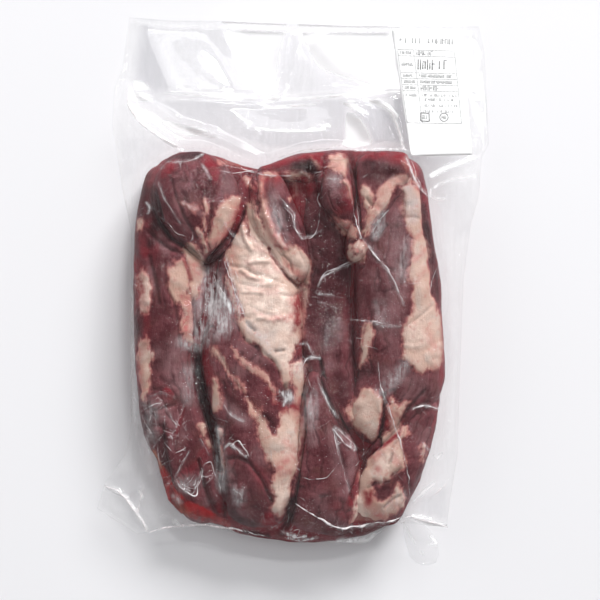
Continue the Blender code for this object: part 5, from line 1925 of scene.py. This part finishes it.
paper, t = new_material("label_paper")
place = t.place()
white = t.shader(
    "ShaderNodeBsdfPrincipled",
    Base_Color=t.mixed(t.noise(place, 600.0, 3.0), PAPER_GREY, PAPER_WHITE),
    Roughness=0.5,
    Normal=t.bumped(t.noise(place, 2500.0, 2.0), 0.15, 0.0002),
)
shadow_ray = t.node("ShaderNodeLightPath").outputs["Is Shadow Ray"]
t.surfaced(t.blended(t.times(shadow_ray, PAPER_SHEER), white, t.shader("ShaderNodeBsdfTransparent")))
label_points, label_faces = closed_sheet(sheet, LABEL_THICKNESS)
piece_from("label_sheet", (label_points, label_faces), paper, "paper_label")
label_tree = BVHTree.FromPolygons([tuple(p) for p in label_points.tolist()], label_faces)


def printed_bar(start, end, width):
    """Points and faces of one printed bar between two of the photograph's pixels."""
    ends = placed([start, end])
    run = ends[1] - ends[0]
    length = float(np.hypot(*run))
    side = np.array([-run[1], run[0]]) / length * width * PIXEL / 2
    steps = max(1, int(length / BAR_STEP))
    points = np.zeros((2, steps + 1, 3))
    for k in range(steps + 1):
        for row, way in ((0, -1.0), (1, 1.0)):
            x, y = ends[0] + run * k / steps + side * way
            hit = label_tree.ray_cast((x, y, RAY_START), (0.0, 0.0, -1.0))[0]
            points[row, k] = (x, y, (hit.z if hit is not None else LABEL_LIFT) + PRINT_LIFT)
    return closed_sheet(points, PRINT_DEPTH)


TABLE_CORNERS = ((398.5, 47.0), (456.0, 48.5), (462.5, 122.5), (407.8, 121.8))
ROW_LINES = (0.0, 0.085, 0.315, 0.395, 0.48, 0.562, 1.0)
DIVIDER = 0.28
RULE_WIDTH = 0.95
INK_FADE = 0.3
FULL_TICK = 0.5
TICK_PITCH = 1.9
CROSS_BAR_CHANCE, CROSS_BAR_REACH = 0.45, 0.45
CROSS_BAR_START, CROSS_BAR_LENGTH, CROSS_BAR_WEIGHT = 0.3, 2.6, 0.8

# Kinds of print: height of its ticks, their weight and how crowded they stand
TITLE_PRINT = (10.5, 1.25, 0.75)
HEADING_PRINT = (4.8, 0.75, 0.85)
ROW_PRINT = (3.4, 0.5, 0.85)
NOTE_PRINT = (2.8, 0.45, 0.4)
TOP_PRINT = (5.6, 0.75, 0.42)
MARK_PRINT = (4.0, 0.5, 0.9)

# Where print starts and ends across the table, left and right of the divider, and the notes' rows
LEFT_PRINT, RIGHT_PRINT = (0.04, DIVIDER - 0.05), (DIVIDER + 0.05, 0.97)
TITLE_END, HEADING_END, ROW_END = 0.82, 0.62, 0.9
TITLE_ROW_HEIGHT, TALLEST_ROW = 0.2, 0.3
FIRST_LINE = 0.06
NOTE_ROWS = ((0.62, 0.95), (0.68, 0.9), (0.76, 0.95), (0.84, 0.9))
TOP_LINE = ((401.0, 37.6), (455.0, 39.2))
MARK_LINES = (((423.4, 116.0), (428.0, 116.2)), ((442.6, 116.2), (447.0, 116.4)))


def table_place(u, v):
    """A pixel of the photograph from its shares across and down the ruled table."""
    high_left, high_right, low_right, low_left = (np.array(c) for c in TABLE_CORNERS)
    return (1 - v) * ((1 - u) * high_left + u * high_right) + v * ((1 - u) * low_left + u * low_right)


rules, words = [], []
for v in ROW_LINES:
    rules.append(printed_bar(table_place(0, v), table_place(1, v), RULE_WIDTH))
for u in (0.0, DIVIDER, 1.0):
    rules.append(printed_bar(table_place(u, 0), table_place(u, 1), RULE_WIDTH))


def print_row(start, end, kind, draw):
    """Upright ticks with short cross bars in place of words, between two of the photograph's pixels."""
    tall, weight, crowding = kind
    start, end = np.array(start, float), np.array(end, float)
    run = end - start
    length = float(np.hypot(*run))
    step = run / length
    down = np.array([-step[1], step[0]])
    at = 0.0
    while at < length:
        if draw.random() < crowding:
            foot = start + step * at
            low, high = sorted(draw.uniform(-FULL_TICK, FULL_TICK, 2))
            if high - low < FULL_TICK:
                low, high = -FULL_TICK, FULL_TICK
            words.append(printed_bar(foot + down * low * tall, foot + down * high * tall, weight))
            if draw.random() < CROSS_BAR_CHANCE:
                level = foot + down * draw.uniform(-CROSS_BAR_REACH, CROSS_BAR_REACH) * tall
                left, right = level - step * CROSS_BAR_START, level + step * weight * CROSS_BAR_LENGTH
                words.append(printed_bar(left, right, weight * CROSS_BAR_WEIGHT))
        at += weight * TICK_PITCH


draw = np.random.default_rng(7)
for top, bottom in zip(ROW_LINES, ROW_LINES[1:]):
    tall = bottom - top
    middle = (top + bottom) / 2
    for low, high in (LEFT_PRINT, RIGHT_PRINT):
        headed = low < DIVIDER
        if TITLE_ROW_HEIGHT < tall < TALLEST_ROW and not headed:
            print_row(table_place(low, middle), table_place(TITLE_END, middle), TITLE_PRINT, draw)
        elif top in (ROW_LINES[0], ROW_LINES[4]) and not headed:
            print_row(table_place(low, middle), table_place(HEADING_END, middle), HEADING_PRINT, draw)
        elif tall < TALLEST_ROW or headed:
            v = middle if tall < TALLEST_ROW else top + FIRST_LINE
            print_row(table_place(low, v), table_place(high if headed else ROW_END, v), ROW_PRINT, draw)
        else:
            for v, reach in NOTE_ROWS:
                print_row(table_place(low, v), table_place(reach, v), NOTE_PRINT, draw)
print_row(*TOP_LINE, TOP_PRINT, draw)
SQUARE_MARK = ((421.2, 111.8), (429.8, 112.2), (430.0, 120.4), (421.4, 120.0))
SQUARE_WEIGHT, RING_WEIGHT = 1.15, 0.95
for a, b in zip(SQUARE_MARK, SQUARE_MARK[1:] + SQUARE_MARK[:1]):
    words.append(printed_bar(a, b, SQUARE_WEIGHT))
RING_CENTRE, RING_RADIUS, RING_SIDES = (444.8, 116.2), 4.2, 16
ring = [
    (RING_CENTRE[0] + RING_RADIUS * math.cos(2 * math.pi * k / RING_SIDES),
     RING_CENTRE[1] + RING_RADIUS * math.sin(2 * math.pi * k / RING_SIDES))
    for k in range(RING_SIDES + 1)
]
for a, b in zip(ring, ring[1:]):
    words.append(printed_bar(a, b, RING_WEIGHT))
for line in MARK_LINES:
    print_row(*line, MARK_PRINT, draw)


def joined(parts):
    """Points and faces of many small parts as one mesh."""
    points, faces = [], []
    for some, more in parts:
        start = sum(len(p) for p in points)
        faces.extend([[start + k for k in face] for face in more])
        points.append(some)
    return np.vstack(points), faces


for name, parts, shade in (("label_rules", rules, 0.5), ("label_words", words, 0.16)):
    ink, t = new_material(name)
    faded = t.ramped(t.noise(t.place(), 900.0, 3.0), 0.35, 0.7)
    dye = t.mixed(faded, (shade,) * 3, (shade + INK_FADE,) * 3)
    t.surfaced(t.shader("ShaderNodeBsdfPrincipled", Base_Color=dye, Roughness=0.6))
    piece_from(name, joined(parts), ink)

# The pack lies on a white studio table, painted matt. One large soft window beyond the bag's mouth lights
# it, with dimmer panels to fill in, some of which show only as glints in the film.
TABLE_SIZE = 4.0
TABLE_DROP = 0.0002
TABLE_WHITE = (0.84, 0.832, 0.852)
floor_mesh = bpy.data.meshes.new("table_top")
half = TABLE_SIZE / 2
table_corners = [(x * half, y * half, -TABLE_DROP) for x, y in ((-1, -1), (1, -1), (1, 1), (-1, 1))]
floor_mesh.from_pydata(table_corners, [], [(0, 1, 2, 3)])
floor_paint, t = new_material("white_table")
t.surfaced(t.shader(
    "ShaderNodeBsdfPrincipled", Base_Color=TABLE_WHITE, Roughness=0.9, Specular_IOR_Level=0.1
))
floor_mesh.materials.append(floor_paint)
floor = bpy.data.objects.new("table_top", floor_mesh)
bpy.context.scene.collection.objects.link(floor)


def soft_light(name, place, aim, size, power, in_film=True, on_meat=True):
    """A rectangular light that may show as a glint in the film and may light the meat."""
    lamp = bpy.data.lights.new(name, "AREA")
    lamp.shape = "RECTANGLE"
    lamp.size, lamp.size_y = size
    lamp.energy = power
    made = bpy.data.objects.new(name, lamp)
    made.location = place
    made.rotation_euler = (Vector(aim) - Vector(place)).to_track_quat("-Z", "Y").to_euler()
    made.visible_glossy = in_film
    made.visible_diffuse = on_meat
    bpy.context.scene.collection.objects.link(made)


soft_light("window", (2.35, 4.95, 2.35), (0.0, 0.0, 0.0), (3.2, 1.5), 458.0, in_film=False)
soft_light("side_wall", (-1.9, 0.9, 0.9), (-0.05, 0.0, 0.0), (1.2, 0.9), 6.5, in_film=False)
soft_light("ceiling", (0.0, 0.0, 2.0), (0.0, 0.0, 0.0), (1.6, 1.6), 6.5, in_film=False)
soft_light("lamp_strip", (0.6, 1.27, 1.69), (0.0, 0.0, 0.0), (0.5, 0.12), 8.0)
soft_light("high_strip", (0.22, 0.62, 1.95), (0.0, 0.0, 0.0), (0.6, 0.05), 2.0, on_meat=False)
soft_light("wall_panel", (0.10, 0.80, 1.75), (0.03, 0.1, 0.0), (0.9, 0.4), 2.1, on_meat=False)
soft_light("near_panel", (0.0, -1.5, 1.0), (0.0, 0.0, 0.0), (0.8, 0.15), 1.2, on_meat=False)

# The room is a pale studio, which is darker overhead than at its walls, so the film shows its slopes
WALL_LIGHT = 0.54
OVERHEAD_DARKER = 0.42
STUDIO_WHITE = (0.97, 0.985, 1.0, 1.0)
world = bpy.data.worlds.new("studio")
world.use_nodes = True
sky = Tree(world.node_tree)
height = sky.node("ShaderNodeSeparateXYZ")
sky.link(sky.node("ShaderNodeTexCoord").outputs["Generated"], height.inputs[0])
level = sky.scaled(sky.times(height.outputs["Z"], height.outputs["Z"]), -OVERHEAD_DARKER, WALL_LIGHT)
background = world.node_tree.nodes["Background"]
background.inputs["Color"].default_value = STUDIO_WHITE
sky.link(level, background.inputs["Strength"])
bpy.context.scene.world = world
bpy.context.scene.view_settings.view_transform = "Standard"
bpy.context.scene.view_settings.look = "None"

# The photograph is taken from straight above the pack with a long lens
CAMERA_PLACE = (4.62, -5.61, 1500.0)
FRAME_WIDTH = 396.0
FRAME_HEIGHT_OFF_TABLE = 20.0
camera_data = bpy.data.cameras.new("overhead")
camera_data.lens = camera_data.sensor_width * (CAMERA_PLACE[2] - FRAME_HEIGHT_OFF_TABLE) / FRAME_WIDTH
camera = bpy.data.objects.new("overhead", camera_data)
camera.location = [value * MM for value in CAMERA_PLACE]
bpy.context.scene.collection.objects.link(camera)
bpy.context.scene.camera = camera
